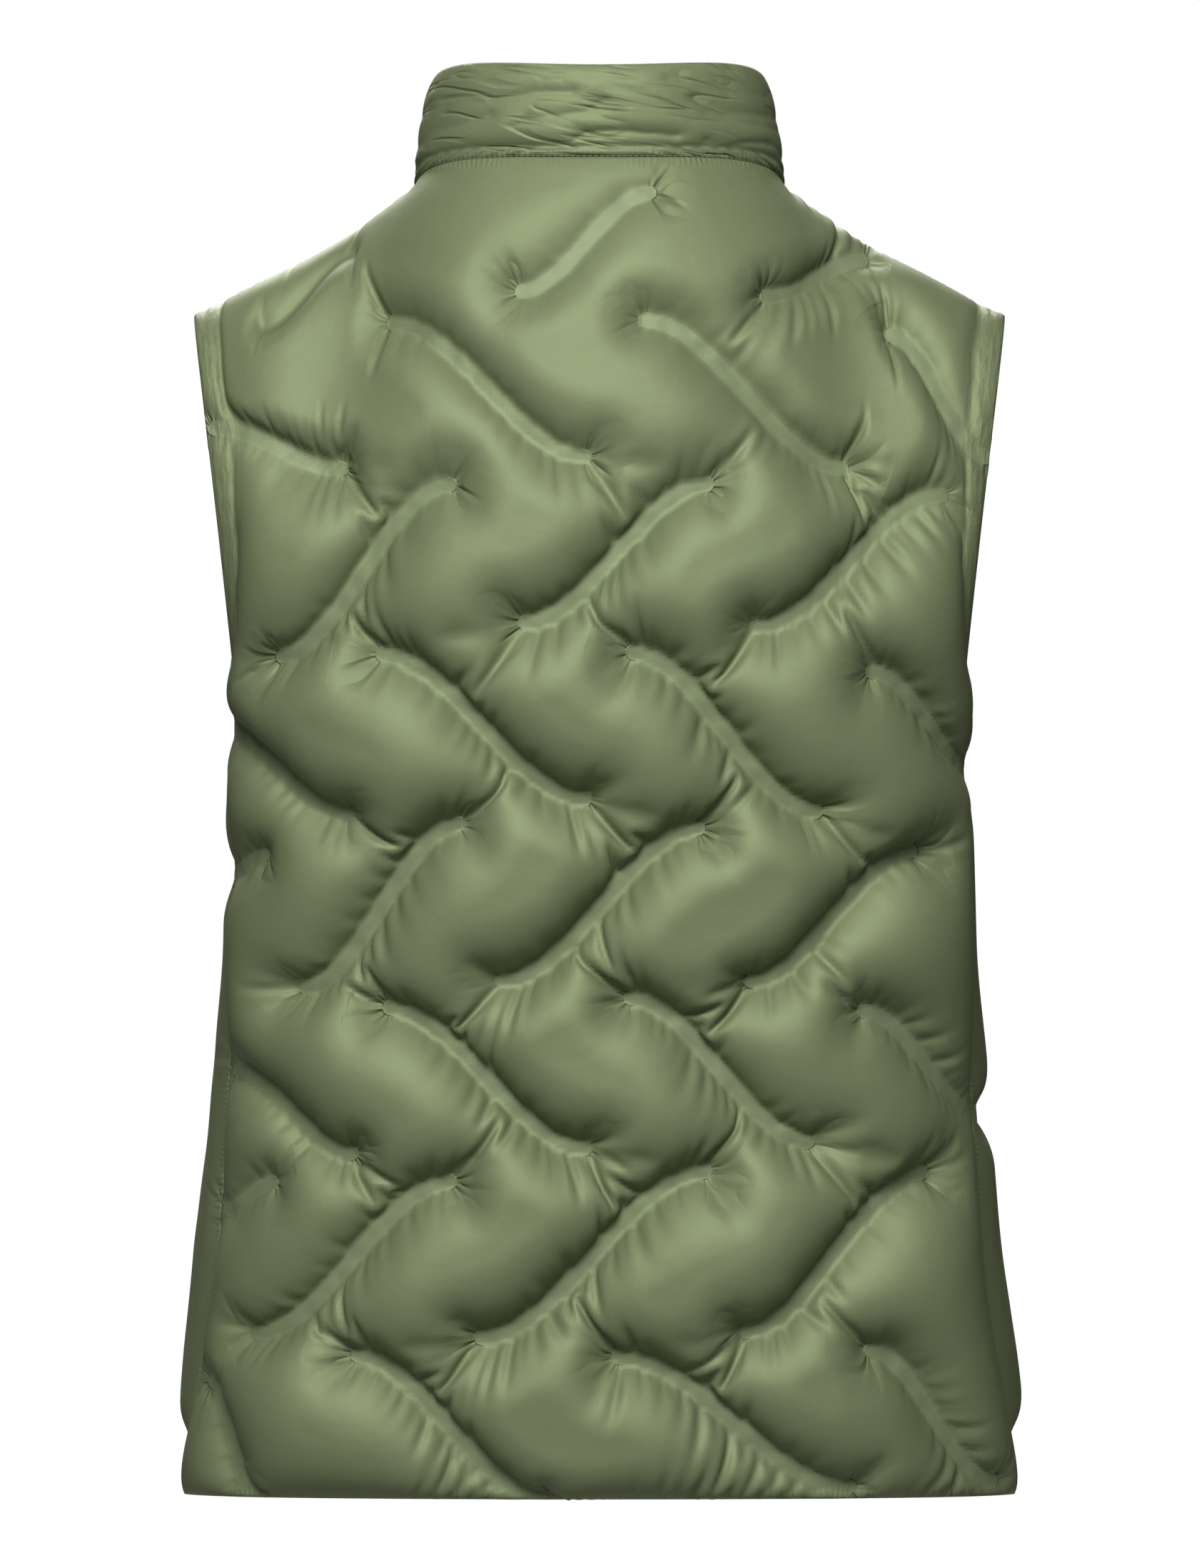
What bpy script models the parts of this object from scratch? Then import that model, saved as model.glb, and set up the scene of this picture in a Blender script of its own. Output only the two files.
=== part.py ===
"""A sleeveless quilted puffer vest, hollow and filled out as if worn.

The wearer faces -Y and the back of the vest faces +Y; +Z is up and +X is the wearer's left. Every
height below is measured up from the back hem. The finished vest is lowered by HOLD_HEIGHT, so the
origin lies between the two neck points of the shoulders, where the wearer's shoulders carry it.

Each cloth piece is a wall: a plain inside surface, and an outside surface that stands off it by the
cloth's thickness plus the height of the quilting.
"""
import math

import bmesh
import bpy
import numpy as np

for old in list(bpy.data.objects):
    bpy.data.objects.remove(old, do_unlink=True)

MM = 0.001

# ---- driving sizes, metres ---------------------------------------------------------------------
HOLD_HEIGHT = 0.632          # neck points of the shoulders above the back hem
UNDERARM_HEIGHT = 0.385      # where the side seam ends and the armhole begins
FRONT_HEM_HEIGHT = 0.023     # the back is cut this much longer than the fronts
HEM_DIP = 0.006              # the back hem hangs this much lower at its sides
CORNER_RISE = 0.006          # rounding of the back hem's two corners
CORNER_START = 0.95          # share of the half width at which that rounding starts

CLOTH = 2.0 * MM             # wall along seams, hems and bond lines
SEAM_GAP = 0.3 * MM          # clear space between two sewn pieces
PUFF = 12.0 * MM             # most that the quilting stands proud of the cloth
BOND_HALF_WIDTH = 4.0 * MM   # half the width of a bonded quilting line
YOKE_FLATNESS = 0.6          # share by which the quilting is flatter at the neck and shoulders
YOKE_DEPTH = 0.090           # and how far below them that ends
ROUNDNESS = 2.5              # exponent of the body's oval sections

# Body sections from hem to underarm: inside sizes at each height. "seam" is how far behind the
# silhouette the side seam runs.
SECTION_COLUMNS = ("height", "half_width", "back_depth", "front_depth", "seam")
SECTIONS = (
    (0.000, 0.2020, 0.109, 0.112, 0.012),
    (0.047, 0.1965, 0.110, 0.113, 0.030),
    (0.110, 0.1885, 0.108, 0.112, 0.036),
    (0.175, 0.1825, 0.104, 0.111, 0.030),
    (0.240, 0.1780, 0.102, 0.112, 0.022),
    (0.310, 0.1760, 0.102, 0.115, 0.014),
    (0.385, 0.1765, 0.105, 0.118, 0.010),
)

# Neckline: an oval in plan, whose height follows a parabola from front to back.
NECK_HALF_WIDTH = 0.0880
NECK_BACK_DEPTH = 0.064
NECK_FRONT_DEPTH = 0.074
NECK_SLOPE = 0.444           # rise towards the back at the neck points
NECK_CURVE = -4.21           # 1/m, bends the neckline down at the front

# Shoulder seam: a curve from the neck point to the tip, steep beside the neck.
TIP_HALF_WIDTH = 0.1982
TIP_HEIGHT = 0.5690
TIP_DEPTH = -0.004
SHOULDER_BEND = (0.117, 0.000, 0.6040)
NECK_LEAN = (0.40, 0.85)     # lean of the cloth below the neckline, centre and neck point
ARRIVAL = (0.95, 0.42, 0.85) # roundness of the yoke at the centre, the neck point and the tip
UPRIGHT_STEP = 4.0 * MM      # height below the underarm that gives the yoke its first direction
NECK_SLANT = 1.5             # how late along the neckline the cloth starts to slant outwards
SEAM_LEVEL = 0.6             # share of the shoulder seam after which the cloth crosses it level
ARMHOLE_SCOOP = 1.7          # how flat the armhole runs out from under the arm
ARMHOLE_SHARE = 0.6          # share of the underarm row at which that begins
ARMHOLE_BEND = 1.6           # and how suddenly it does
ARMHOLE_REACH = 0.3          # extra reach of the cloth there

# Collar, measured along its wall at the centre back and at the centre front.
COLLAR_TOP_HALF_WIDTH = 0.0800
COLLAR_TOP_BACK = 0.060
COLLAR_TOP_FRONT = 0.070
COLLAR_TOP_HEIGHTS = (0.6885, 0.6825, 0.6270)    # centre back, side, centre front
COLLAR_PADDING = 3.5 * MM
COLLAR_ROUNDING = 0.8        # exponent of the padding's rise and fall up the collar
COLLAR_END_CELLS = 3         # cells over which it thins towards the zip

# Quilting: bonded S-shaped lines, placed as seen from behind, in millimetres across (+X) and above
# the hem. Each runs flat at both ends and steep in its middle. The same layout crosses the fronts.
BOND_COLUMNS = ("name", "start_x", "start_z", "end_x", "end_z")
BOND_LINES = (
    ("A0", 116, 598, 158, 563), ("A1", -24, 625, 37, 577), ("A2", -128, 595, -79, 575),
    ("B0", 186, 513, 123, 492), ("B1", 99, 563, 7, 497), ("B2", -22, 563, -116, 492),
    ("B3", -141, 558, -186, 499), ("C1", 71, 484, 152, 403), ("C2", -51, 484, 35, 418),
    ("C3", -164, 480, -75, 416), ("D0", 186, 372, 120, 327), ("D1", 103, 403, 7, 334),
    ("D2", -16, 404, -103, 328), ("D3", -130, 395, -186, 344), ("E0", 160, 307, 178, 298),
    ("E1", 67, 322, 140, 243), ("E2", -47, 320, 46, 247), ("E3", -149, 309, -72, 247),
    ("F0", 175, 203, 118, 164), ("F1", 100, 234, 7, 167), ("F2", -15, 239, -99, 170),
    ("F3", -126, 232, -185, 180), ("G0", 156, 149, 179, 135), ("G1", 71, 151, 163, 77),
    ("G2", -50, 156, 56, 77), ("G3", -154, 154, -70, 80), ("H0", 186, 52, 165, -1),
    ("H1", 115, 68, 28, 2), ("H2", -9, 68, -119, 5), ("H3", -129, 70, -189, 4),
)

# Front zip.
ZIP_HALF_WIDTH = 5.0 * MM    # the fronts' edges stand this far from the centre line
TAPE_THICKNESS = 1.2 * MM
TAPE_GAP = 0.4 * MM          # half the space between the two tapes, for the teeth
SLIDER_DROP = 13.0 * MM      # slider's middle below the collar's top edge
SLIDER_SPREAD = 2.1 * MM     # half the space between the tapes above the slider's middle
TAPE_CELLS = 30              # up each tape, below the slider
PULL_PIN = 4.75              # the pull's pin stands this far out from the tapes, millimetres

# Blocks of the slider and its pull, millimetres: x across, -y out from the vest, z up the zip.
BLOCK_COLUMNS = ("name", "size", "centre", "softening")
BLOCKS = (
    ("zip_slider", (9.0, 1.2, 11.0), (0.0, -3.0, 0.0), 0.4),
    ("slider_post", (2.4, 4.6, 3.4), (0.0, -0.75, 3.4), 0.0),
    ("slider_back", (9.0, 1.0, 11.0), (0.0, 1.5, 0.0), 0.3),
    ("slider_bail", (1.6, 3.2, 6.4), (0.0, -5.1, 0.0), 0.0),
    ("slider_bail_hole", (4.0, 2.3, 3.6), (0.0, -PULL_PIN, 0.0), 0.0),
    ("zip_pull", (6.0, 1.1, 24.0), (0.0, 0.0, -11.4), 0.25),
    ("pull_eye", (2.9, 4.0, 4.2), (0.0, 0.0, -2.7), 0.0),
)

# Mesh: cells of the walls' outer surfaces; the inside surfaces have one cell to every STEP x STEP.
STEP = 2
NECK_CELLS = 10
SHOULDER_CELLS = 10
VENT_CELLS = 2               # rows of the back below the fronts' hem
BODY_CELLS = 32              # rows from the fronts' hem to the underarm
YOKE_CELLS = 20              # rows from the underarm to the neckline
COLLAR_CELLS = 6
CURVE_POINTS = 240           # along each curve, before it is spaced evenly into cells
BOND_PARTS = 16              # straight parts of each bonded line
TURNED_LIMIT = 0.3           # least narrowing allowed where the cloth turns away
SKIN_STEPS = 600             # steps of the blown-up skin
SKIN_FULL = 90               # percentile of its height taken as full
SKIN_FIRMNESS = 1.6          # how flat it is over its full part
CREASE_ANGLE = 50            # degrees between faces that are shaded apart


# ---- small helpers -----------------------------------------------------------------------------
def column(name):
    return np.array([row[SECTION_COLUMNS.index(name)] for row in SECTIONS])


def smooth_curve(heights, values, at):
    """Value at each height of a smooth curve through the table's points."""
    slopes = np.gradient(values, heights)
    at = np.clip(at, heights[0], heights[-1])
    k = np.clip(np.searchsorted(heights, at) - 1, 0, len(heights) - 2)
    span = heights[k + 1] - heights[k]
    t = (at - heights[k]) / span
    return ((2 * t**3 - 3 * t**2 + 1) * values[k] + (t**3 - 2 * t**2 + t) * span * slopes[k]
            + (3 * t**2 - 2 * t**3) * values[k + 1] + (t**3 - t**2) * span * slopes[k + 1])


def unit(vectors):
    return vectors / np.linalg.norm(vectors, axis=-1, keepdims=True)


def spread(points, count):
    """The same path as evenly spaced points, count cells long."""
    lengths = np.linalg.norm(np.diff(points, axis=0), axis=1)
    along = np.concatenate(([0.0], np.cumsum(lengths)))
    places = np.linspace(0.0, along[-1], count + 1)
    return np.stack([np.interp(places, along, points[:, k]) for k in range(3)], axis=1)


def hermite(start, leave, end, arrive, t):
    return ((2 * t**3 - 3 * t**2 + 1) * start + (t**3 - 2 * t**2 + t) * leave
            + (3 * t**2 - 2 * t**3) * end + (t**3 - t**2) * arrive)


# ---- the inside surface of the body ------------------------------------------------------------
def body_row(height, side, cells):
    """Half a body section at one height, from the centre line to the side seam.

    side is +1 for the back and -1 for the front. The front's rows run past the silhouette to the
    seam, which lies a little behind it.
    """
    heights = column("height")
    a, back, front, seam = (float(smooth_curve(heights, column(name), height))
                            for name in SECTION_COLUMNS[1:])
    power = 2.0 / ROUNDNESS
    start = 0.0 if side > 0 else math.pi - math.asin((ZIP_HALF_WIDTH / a) ** (1.0 / power))
    angles = np.linspace(start, math.acos((seam / back) ** (1.0 / power)), CURVE_POINTS)
    depth = np.where(np.cos(angles) > 0, back, front)
    x = a * np.abs(np.sin(angles)) ** power
    y = np.sign(np.cos(angles)) * depth * np.abs(np.cos(angles)) ** power
    return spread(np.stack([x, y, np.full_like(x, height)], axis=1), cells)


def neckline(side):
    """Half the neckline, from the centre line to the neck point."""
    first = 0.0 if side > 0 else ZIP_HALF_WIDTH
    depth = NECK_BACK_DEPTH if side > 0 else NECK_FRONT_DEPTH
    angles = np.linspace(math.asin(first / NECK_HALF_WIDTH), math.pi / 2, CURVE_POINTS)
    y = side * depth * np.cos(angles)
    height = HOLD_HEIGHT + NECK_SLOPE * y + NECK_CURVE * y**2
    return spread(np.stack([NECK_HALF_WIDTH * np.sin(angles), y, height], axis=1), NECK_CELLS)


def shoulder_seam():
    """The shoulder seam, from the neck point to the tip."""
    neck = np.array([NECK_HALF_WIDTH, 0.0, HOLD_HEIGHT])
    bend = np.array(SHOULDER_BEND)
    tip = np.array([TIP_HALF_WIDTH, TIP_DEPTH, TIP_HEIGHT])
    t = np.linspace(0.0, 1.0, CURVE_POINTS)[:, None]
    return spread((1 - t)**2 * neck + 2 * t * (1 - t) * bend + t**2 * tip, SHOULDER_CELLS)


def yoke_rows(side):
    """The surface from the underarm level up to the neckline and the shoulder seam."""
    cells = NECK_CELLS + SHOULDER_CELLS
    low = body_row(UNDERARM_HEIGHT, side, cells)
    below = body_row(UNDERARM_HEIGHT - UPRIGHT_STEP, side, cells)
    neck = neckline(side)
    seam = shoulder_seam()
    top = np.concatenate([neck, seam[1:]])
    share = np.linspace(0.0, 1.0, cells + 1)[:, None]
    reach = np.linalg.norm(top - low, axis=1)[:, None]

    # the cloth leaves the body upright, but swings towards the centre beside the armhole
    leave = unit(low - below)
    swing = np.clip((share - ARMHOLE_SHARE) / (1 - ARMHOLE_SHARE), 0.0, 1.0) ** ARMHOLE_BEND
    leave = unit(leave + swing * np.array([0.0, side * ARMHOLE_SCOOP, 0.0]))
    leave = leave * (1 + ARMHOLE_REACH * swing)

    # it arrives square to the neckline at the centre, square to the shoulder seam at the tip, and
    # half way between the two at the neck point
    along_seam = unit(np.gradient(seam, axis=0))
    along_neck = unit(np.gradient(neck, axis=0))
    along_neck[-1] = unit(np.array([0.0, -side, -side * NECK_SLOPE]))
    neck_share = np.linspace(0.0, 1.0, NECK_CELLS + 1)[:, None]
    turn = neck_share * math.pi / 2
    lean_in = NECK_LEAN[0] + (NECK_LEAN[1] - NECK_LEAN[0]) * neck_share
    to_neck = unit(np.concatenate([-lean_in * np.sin(turn), -side * lean_in * np.cos(turn),
                                   np.ones_like(turn)], axis=1))
    to_neck[-1] = -along_seam[0]
    over_neck = unit(to_neck + neck_share**NECK_SLANT * along_neck)
    seam_share = np.linspace(0.0, 1.0, SHOULDER_CELLS + 1)[:, None]
    fade = np.clip(1 - seam_share / SEAM_LEVEL, 0, 1)
    level = np.array([0.0, -side, 0.0])
    over_seam = unit(level + fade * (along_neck[-1] - level) - fade * along_seam)
    arrive = np.concatenate([over_neck, over_seam[1:]])
    pull = np.interp(share, (0.0, 0.5, 1.0), ARRIVAL)
    t = np.linspace(0.0, 1.0, YOKE_CELLS + 1)[:, None, None]
    return hermite(low[None], (leave * reach)[None], top[None], (pull * arrive * reach)[None], t)


def half_panel(side):
    """Inside surface of the back's right half or of a front: rows up, columns out to the side."""
    cells = NECK_CELLS + SHOULDER_CELLS
    heights = list(np.linspace(FRONT_HEM_HEIGHT, UNDERARM_HEIGHT, BODY_CELLS + 1)[:-1])
    if side > 0:
        heights = list(np.linspace(0.0, FRONT_HEM_HEIGHT, VENT_CELLS + 1)[:-1]) + heights
    rows = [body_row(height, side, cells) for height in heights]
    surface = np.concatenate([np.array(rows), yoke_rows(side)])
    if side > 0:
        share = np.linspace(0.0, 1.0, cells + 1)
        corner = np.clip((share - CORNER_START) / (1 - CORNER_START), 0, 1)
        rise = CORNER_RISE * corner**2 - HEM_DIP * share**3
        for row in range(VENT_CELLS):
            surface[row, :, 2] += rise * (1 - row / VENT_CELLS)
    return surface


def outward(surface):
    """Unit normals of a panel's surface, pointing away from the wearer."""
    up = np.gradient(surface, axis=0, edge_order=2)
    across = np.gradient(surface, axis=1, edge_order=2)
    normals = unit(np.cross(up, across))
    middle = surface.shape[0] // 3, surface.shape[1] // 2
    centre = np.array([0.0, 0.0, surface[middle][2]])
    if np.dot(normals[middle], surface[middle] - centre) < 0:
        normals = -normals
    return normals


def panel_normals(surface):
    """Outward normals of a panel, the same on both sides of the side seam."""
    normals = outward(surface)
    below = surface[:, -1, 2] < UNDERARM_HEIGHT + 0.1 * MM
    for col in {0, surface.shape[1] - 1}:
        edge = surface[below, col]
        if abs(edge[0, 0]) < 0.1:
            continue
        a, depth = (smooth_curve(column("height"), column(name), edge[:, 2])
                    for name in ("half_width", "back_depth"))
        across = np.sign(edge[:, 0]) * np.abs(edge[:, 0] / a) ** (ROUNDNESS - 1) / a
        back = np.abs(edge[:, 1] / depth) ** (ROUNDNESS - 1) / depth
        normals[below, col] = unit(np.stack([across, back, np.zeros_like(across)], axis=1))
    return normals


def inset(surface, normals, distance):
    """Draw the panel's four edges back by a distance within its own surface."""
    rows, columns = surface.shape[:2]
    loop = ([(0, c) for c in range(columns - 1)] + [(r, columns - 1) for r in range(rows - 1)]
            + [(rows - 1, c) for c in range(columns - 1, 0, -1)]
            + [(r, 0) for r in range(rows - 1, 0, -1)])
    points = np.array([surface[rc] for rc in loop])
    along = unit(np.roll(points, -1, axis=0) - np.roll(points, 1, axis=0))
    inward = np.cross(np.array([normals[rc] for rc in loop]), along)
    middle = surface[rows // 2, columns // 2] - surface[rows // 2, 0]
    left = loop.index((rows // 2, 0))
    if np.dot(inward[left], middle) < 0:
        inward = -inward
    moved = surface.copy()
    for rc, step in zip(loop, unit(inward)):
        moved[rc] = surface[rc] + distance * step
    return moved


# ---- quilting ----------------------------------------------------------------------------------
def bond_paths():
    """Centre lines of the bonded lines, as seen from behind, in metres."""
    t = np.linspace(0.0, 1.0, BOND_PARTS + 1)
    ease = t * t * (3 - 2 * t)
    return [np.stack([x0 + (x1 - x0) * t, z0 + (z1 - z0) * ease], axis=1) * MM
            for _, x0, z0, x1, z1 in BOND_LINES]


def bond_distance(surface, normals):
    """Distance along the cloth from each point to the nearest bonded line."""
    # seen from behind, cloth that turns away looks narrower than it is
    turned = np.clip(np.abs(normals[..., 1]), TURNED_LIMIT, 1.0)
    nearest = np.full(surface.shape[:2], 1.0)
    for path in bond_paths():
        for start, end in zip(path[:-1], path[1:]):
            dx = (surface[..., 0] - start[0]) / turned
            dz = surface[..., 2] - start[1]
            ex, ez = (end[0] - start[0]) / turned, end[1] - start[1]
            t = np.clip((dx * ex + dz * ez) / (ex**2 + ez**2), 0, 1)
            nearest = np.minimum(nearest, np.hypot(dx - t * ex, dz - t * ez))
    return nearest


def puffed(surface, normals):
    """Height of the quilting: a blown-up skin, held down at the edges and the bonded lines."""
    cell = np.linalg.norm(surface[1, 1] - surface[0, 0]) / math.sqrt(2)
    away = bond_distance(surface, normals)
    held = away < BOND_HALF_WIDTH + cell / 4
    held[0] = held[-1] = True
    held[:, 0] = held[:, -1] = True
    height = np.zeros(surface.shape[:2])
    for _ in range(SKIN_STEPS):
        around = (np.roll(height, 1, 0) + np.roll(height, -1, 0)
                  + np.roll(height, 1, 1) + np.roll(height, -1, 1)) / 4
        height = np.where(held, 0.0, around + 1.0)
    height = height / np.percentile(height, SKIN_FULL)
    near = np.clip((away - BOND_HALF_WIDTH / 2) / (2 * cell), 0, 1)
    from_top = (surface[-1, :, 2] - surface[..., 2] + abs(surface[..., 1] - surface[-1, :, 1]))
    flatter = 1 - YOKE_FLATNESS * np.clip(1 - from_top / YOKE_DEPTH, 0, 1)
    return PUFF * (1 - np.exp(-SKIN_FIRMNESS * height)) * near * (2 - near) * flatter


# ---- building walls ----------------------------------------------------------------------------
def finished(bm, name, collection):
    """Turn a bmesh into the named object."""
    mesh = bpy.data.meshes.new(name)
    bm.to_mesh(mesh)
    bm.free()
    piece = bpy.data.objects.new(name, mesh)
    collection.objects.link(piece)
    return piece


def painted(piece, finish_of):
    """Give a piece its own plain material: colour, roughness and metal share."""
    colour, roughness, metallic = finish_of
    material = bpy.data.materials.new(piece.name)
    material.use_nodes = True
    shader = material.node_tree.nodes["Principled BSDF"]
    shader.inputs["Base Color"].default_value = (*colour, 1.0)
    shader.inputs["Roughness"].default_value = roughness
    shader.inputs["Metallic"].default_value = metallic
    piece.data.materials.append(material)


def laid_grid(bm, points):
    """A grid of cells laid on a table of points; returns its vertices as the same table."""
    rows, columns = points.shape[:2]
    made = bmesh.ops.create_grid(bm, x_segments=columns - 1, y_segments=rows - 1, size=0.5)
    verts = sorted(made["verts"], key=lambda v: (round((v.co.y + 0.5) * (rows - 1)), v.co.x))
    table = [verts[row * columns:(row + 1) * columns] for row in range(rows)]
    for row in range(rows):
        for col in range(columns):
            table[row][col].co = points[row, col]
    return table


def crease_low(bm, table, height):
    """Split each cell of a grid along its lower diagonal, so that valleys stay crisp."""
    for row in range(len(table) - 1):
        for col in range(len(table[0]) - 1):
            a, b = table[row][col], table[row + 1][col + 1]
            c, d = table[row][col + 1], table[row + 1][col]
            falling = height[row, col + 1] + height[row + 1, col]
            rising = height[row, col] + height[row + 1, col + 1]
            bmesh.ops.connect_verts(bm, verts=[c, d] if falling < rising else [a, b])


def wall(name, inside, outside, finish_of, step=STEP):
    """A closed wall between a coarse inside surface and a fine outside one."""
    height = np.linalg.norm(outside - inside, axis=-1)
    down = np.array([0.0, 0.0, HOLD_HEIGHT])
    bm = bmesh.new()
    outer = laid_grid(bm, outside - down)
    crease_low(bm, outer, height)
    inner = laid_grid(bm, (inside - down)[::step, ::step])
    last_row, last_col = len(inner) - 1, len(inner[0]) - 1

    def rim(inner_pair, outer_run):
        # split alike on every piece, so that two facing rims stay the seam's gap apart
        first, second = inner_pair
        middle = outer_run[len(outer_run) // 2]
        for low, high in zip(outer_run[:-1], outer_run[1:]):
            near = first if outer_run.index(high) <= len(outer_run) // 2 else second
            bm.faces.new([near, low, high])
        bm.faces.new([first, middle, second])

    for c in range(last_col):
        run = range(c * step, (c + 1) * step + 1)
        rim((inner[0][c], inner[0][c + 1]), [outer[0][k] for k in run])
        rim((inner[-1][c], inner[-1][c + 1]), [outer[-1][k] for k in run])
    for r in range(last_row):
        run = range(r * step, (r + 1) * step + 1)
        rim((inner[r][0], inner[r + 1][0]), [outer[k][0] for k in run])
        rim((inner[r][-1], inner[r + 1][-1]), [outer[k][-1] for k in run])
    bmesh.ops.recalc_face_normals(bm, faces=bm.faces)
    piece = finished(bm, name, vest)
    piece.data.set_sharp_from_angle(angle=math.radians(CREASE_ANGLE))
    painted(piece, finish_of)


def mirrored(points):
    return points * np.array([-1.0, 1.0, 1.0])


SATIN = ((0.115, 0.165, 0.075), 0.42, 0.0)
TAPE = ((0.075, 0.110, 0.052), 0.75, 0.0)
METAL = ((0.55, 0.55, 0.53), 0.35, 1.0)


# ---- the pieces --------------------------------------------------------------------------------
def add_back():
    """The back, cut in one piece from hem to neckline."""
    half = half_panel(+1)
    surface = np.concatenate([mirrored(half[:, :0:-1]), half], axis=1)
    normals = panel_normals(surface)
    surface = inset(surface, normals, SEAM_GAP / 2)
    height = CLOTH + puffed(surface, normals)
    wall("back_panel", surface, surface + normals * height[..., None], SATIN)


def add_fronts():
    """The two fronts, each from its hem to the neckline, meeting at the zip."""
    half = half_panel(-1)
    for name, surface in (("front_left", half), ("front_right", mirrored(half))):
        normals = panel_normals(surface)
        surface = inset(surface, normals, SEAM_GAP / 2)
        height = CLOTH + puffed(surface, normals)
        wall(name, surface, surface + normals * height[..., None], SATIN)


def neckline_ring():
    """The whole neckline with its panels' normals, from the left front round to the right front.

    The line is moved by the seam's gap out of the panels, towards the collar.
    """
    quarters = []
    for side in (-1, +1):
        half = half_panel(side)
        normals = outward(half)
        edge = inset(half, normals, -SEAM_GAP)[-1, :NECK_CELLS + 1]
        quarters.append((edge, normals[-1, :NECK_CELLS + 1]))
    (front, front_out), (back, back_out) = quarters
    middle = (front[-1] + back[-1]) / 2
    middle_out = unit(front_out[-1] + back_out[-1])
    left = np.concatenate([front[:-1], [middle], back[-2::-1]])
    left_out = np.concatenate([front_out[:-1], [middle_out], back_out[-2::-1]])
    return (np.concatenate([left, mirrored(left[-2::-1])]),
            np.concatenate([left_out, mirrored(left_out[-2::-1])]))


def collar_top():
    """Top edge of the collar, from the left front round the back to the right front."""
    back_z, side_z, front_z = COLLAR_TOP_HEIGHTS
    curve, slope = np.linalg.solve(
        [[COLLAR_TOP_BACK**2, COLLAR_TOP_BACK], [COLLAR_TOP_FRONT**2, -COLLAR_TOP_FRONT]],
        [back_z - side_z, front_z - side_z])
    first = math.asin(ZIP_HALF_WIDTH / COLLAR_TOP_HALF_WIDTH)
    front = np.linspace(first, math.pi / 2, CURVE_POINTS)
    back = np.linspace(math.pi / 2, 0.0, CURVE_POINTS)
    halves = []
    for angles, depth in ((front, -COLLAR_TOP_FRONT), (back, COLLAR_TOP_BACK)):
        y = depth * np.cos(angles)
        line = np.stack([COLLAR_TOP_HALF_WIDTH * np.sin(angles), y,
                         side_z + slope * y + curve * y**2], axis=1)
        halves.append(spread(line, NECK_CELLS))
    left = np.concatenate([halves[0], halves[1][1:]])
    return np.concatenate([left, mirrored(left[-2::-1])])


def collar_surface():
    """Inside surface of the stand collar: rows up, columns round from left front to right."""
    base, base_out = neckline_ring()
    top = collar_top()
    t = np.linspace(0.0, 1.0, COLLAR_CELLS + 1)[:, None, None]
    surface = base + (top - base) * t
    surface[:, 0, 0] = ZIP_HALF_WIDTH + SEAM_GAP / 2
    surface[:, -1, 0] = -surface[:, 0, 0]
    normals = outward(surface)
    normals[0] = base_out
    return surface, normals


def add_collar():
    """The stand collar, one padded band with its ends at the zip."""
    surface, normals = collar_surface()
    up = np.linspace(0.0, 1.0, surface.shape[0])[:, None]
    cells = np.arange(surface.shape[1])
    from_end = np.clip(np.minimum(cells, cells[::-1]) / COLLAR_END_CELLS, 0, 1)
    fill = np.sin(math.pi * up).clip(0) ** COLLAR_ROUNDING * np.sqrt(from_end)
    height = CLOTH + COLLAR_PADDING * fill
    wall("collar", surface, surface + normals * height[..., None], SATIN)


def zip_line():
    """The middle of the front, from hem to collar top, and its place along that length."""
    front = half_panel(-1)[:, 0]
    collar = collar_surface()[0][1:, 0]
    line = np.concatenate([front, collar])
    line[:, 0] = 0.0
    along = np.concatenate(([0.0], np.cumsum(np.linalg.norm(np.diff(line, axis=0), axis=1))))
    return line, along


def on_zip(line, along, place):
    return np.array([np.interp(place, along, line[:, k]) for k in range(3)])


def add_zip_tapes():
    """The zip's two tapes, between the fronts' edges and apart above the slider."""
    line, along = zip_line()
    slider = along[-1] - SLIDER_DROP
    plain = np.linspace(SEAM_GAP, slider - 3.0 * MM, TAPE_CELLS)
    places = np.concatenate([plain, [slider - 2.0 * MM, slider + 1.0 * MM, slider + 6.0 * MM,
                                     along[-1] - 0.5 * MM]])
    points = np.array([on_zip(line, along, place) for place in places])
    tangent = unit(np.gradient(points, axis=0))
    out = np.stack([np.zeros(len(places)), -tangent[:, 2], tangent[:, 1]], axis=1)
    inner_edge = np.interp(places, [slider - 2.0 * MM, slider + 1.0 * MM],
                           [TAPE_GAP, SLIDER_SPREAD])
    outer_edge = ZIP_HALF_WIDTH - SEAM_GAP / 2
    for name, hand in (("zip_tape_left", 1), ("zip_tape_right", -1)):
        inside = np.repeat(points[:, None], 2, axis=1)
        inside[:, 0, 0] = hand * inner_edge
        inside[:, 1, 0] = hand * outer_edge
        wall(name, inside, inside + out[:, None] * TAPE_THICKNESS, TAPE, step=1)


def block(name, collection):
    """The block of that name, as its row of the table gives it."""
    _, size, centre, softening = next(row for row in BLOCKS if row[0] == name)
    bm = bmesh.new()
    bmesh.ops.create_cube(bm, size=1.0)
    for vert in bm.verts:
        vert.co = [(vert.co[k] * size[k] + centre[k]) * MM for k in range(3)]
    piece = finished(bm, name, collection)
    if softening:
        soften = piece.modifiers.new("soft edges", "BEVEL")
        soften.width = softening * MM
        soften.segments = 1
    return piece


def combine(piece, other, operation):
    """Join another block to a piece, or cut it away."""
    other.hide_render = True
    other.display_type = "WIRE"
    step = piece.modifiers.new(operation.lower(), "BOOLEAN")
    step.operation = operation
    step.solver = "EXACT"
    step.object = other


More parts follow.
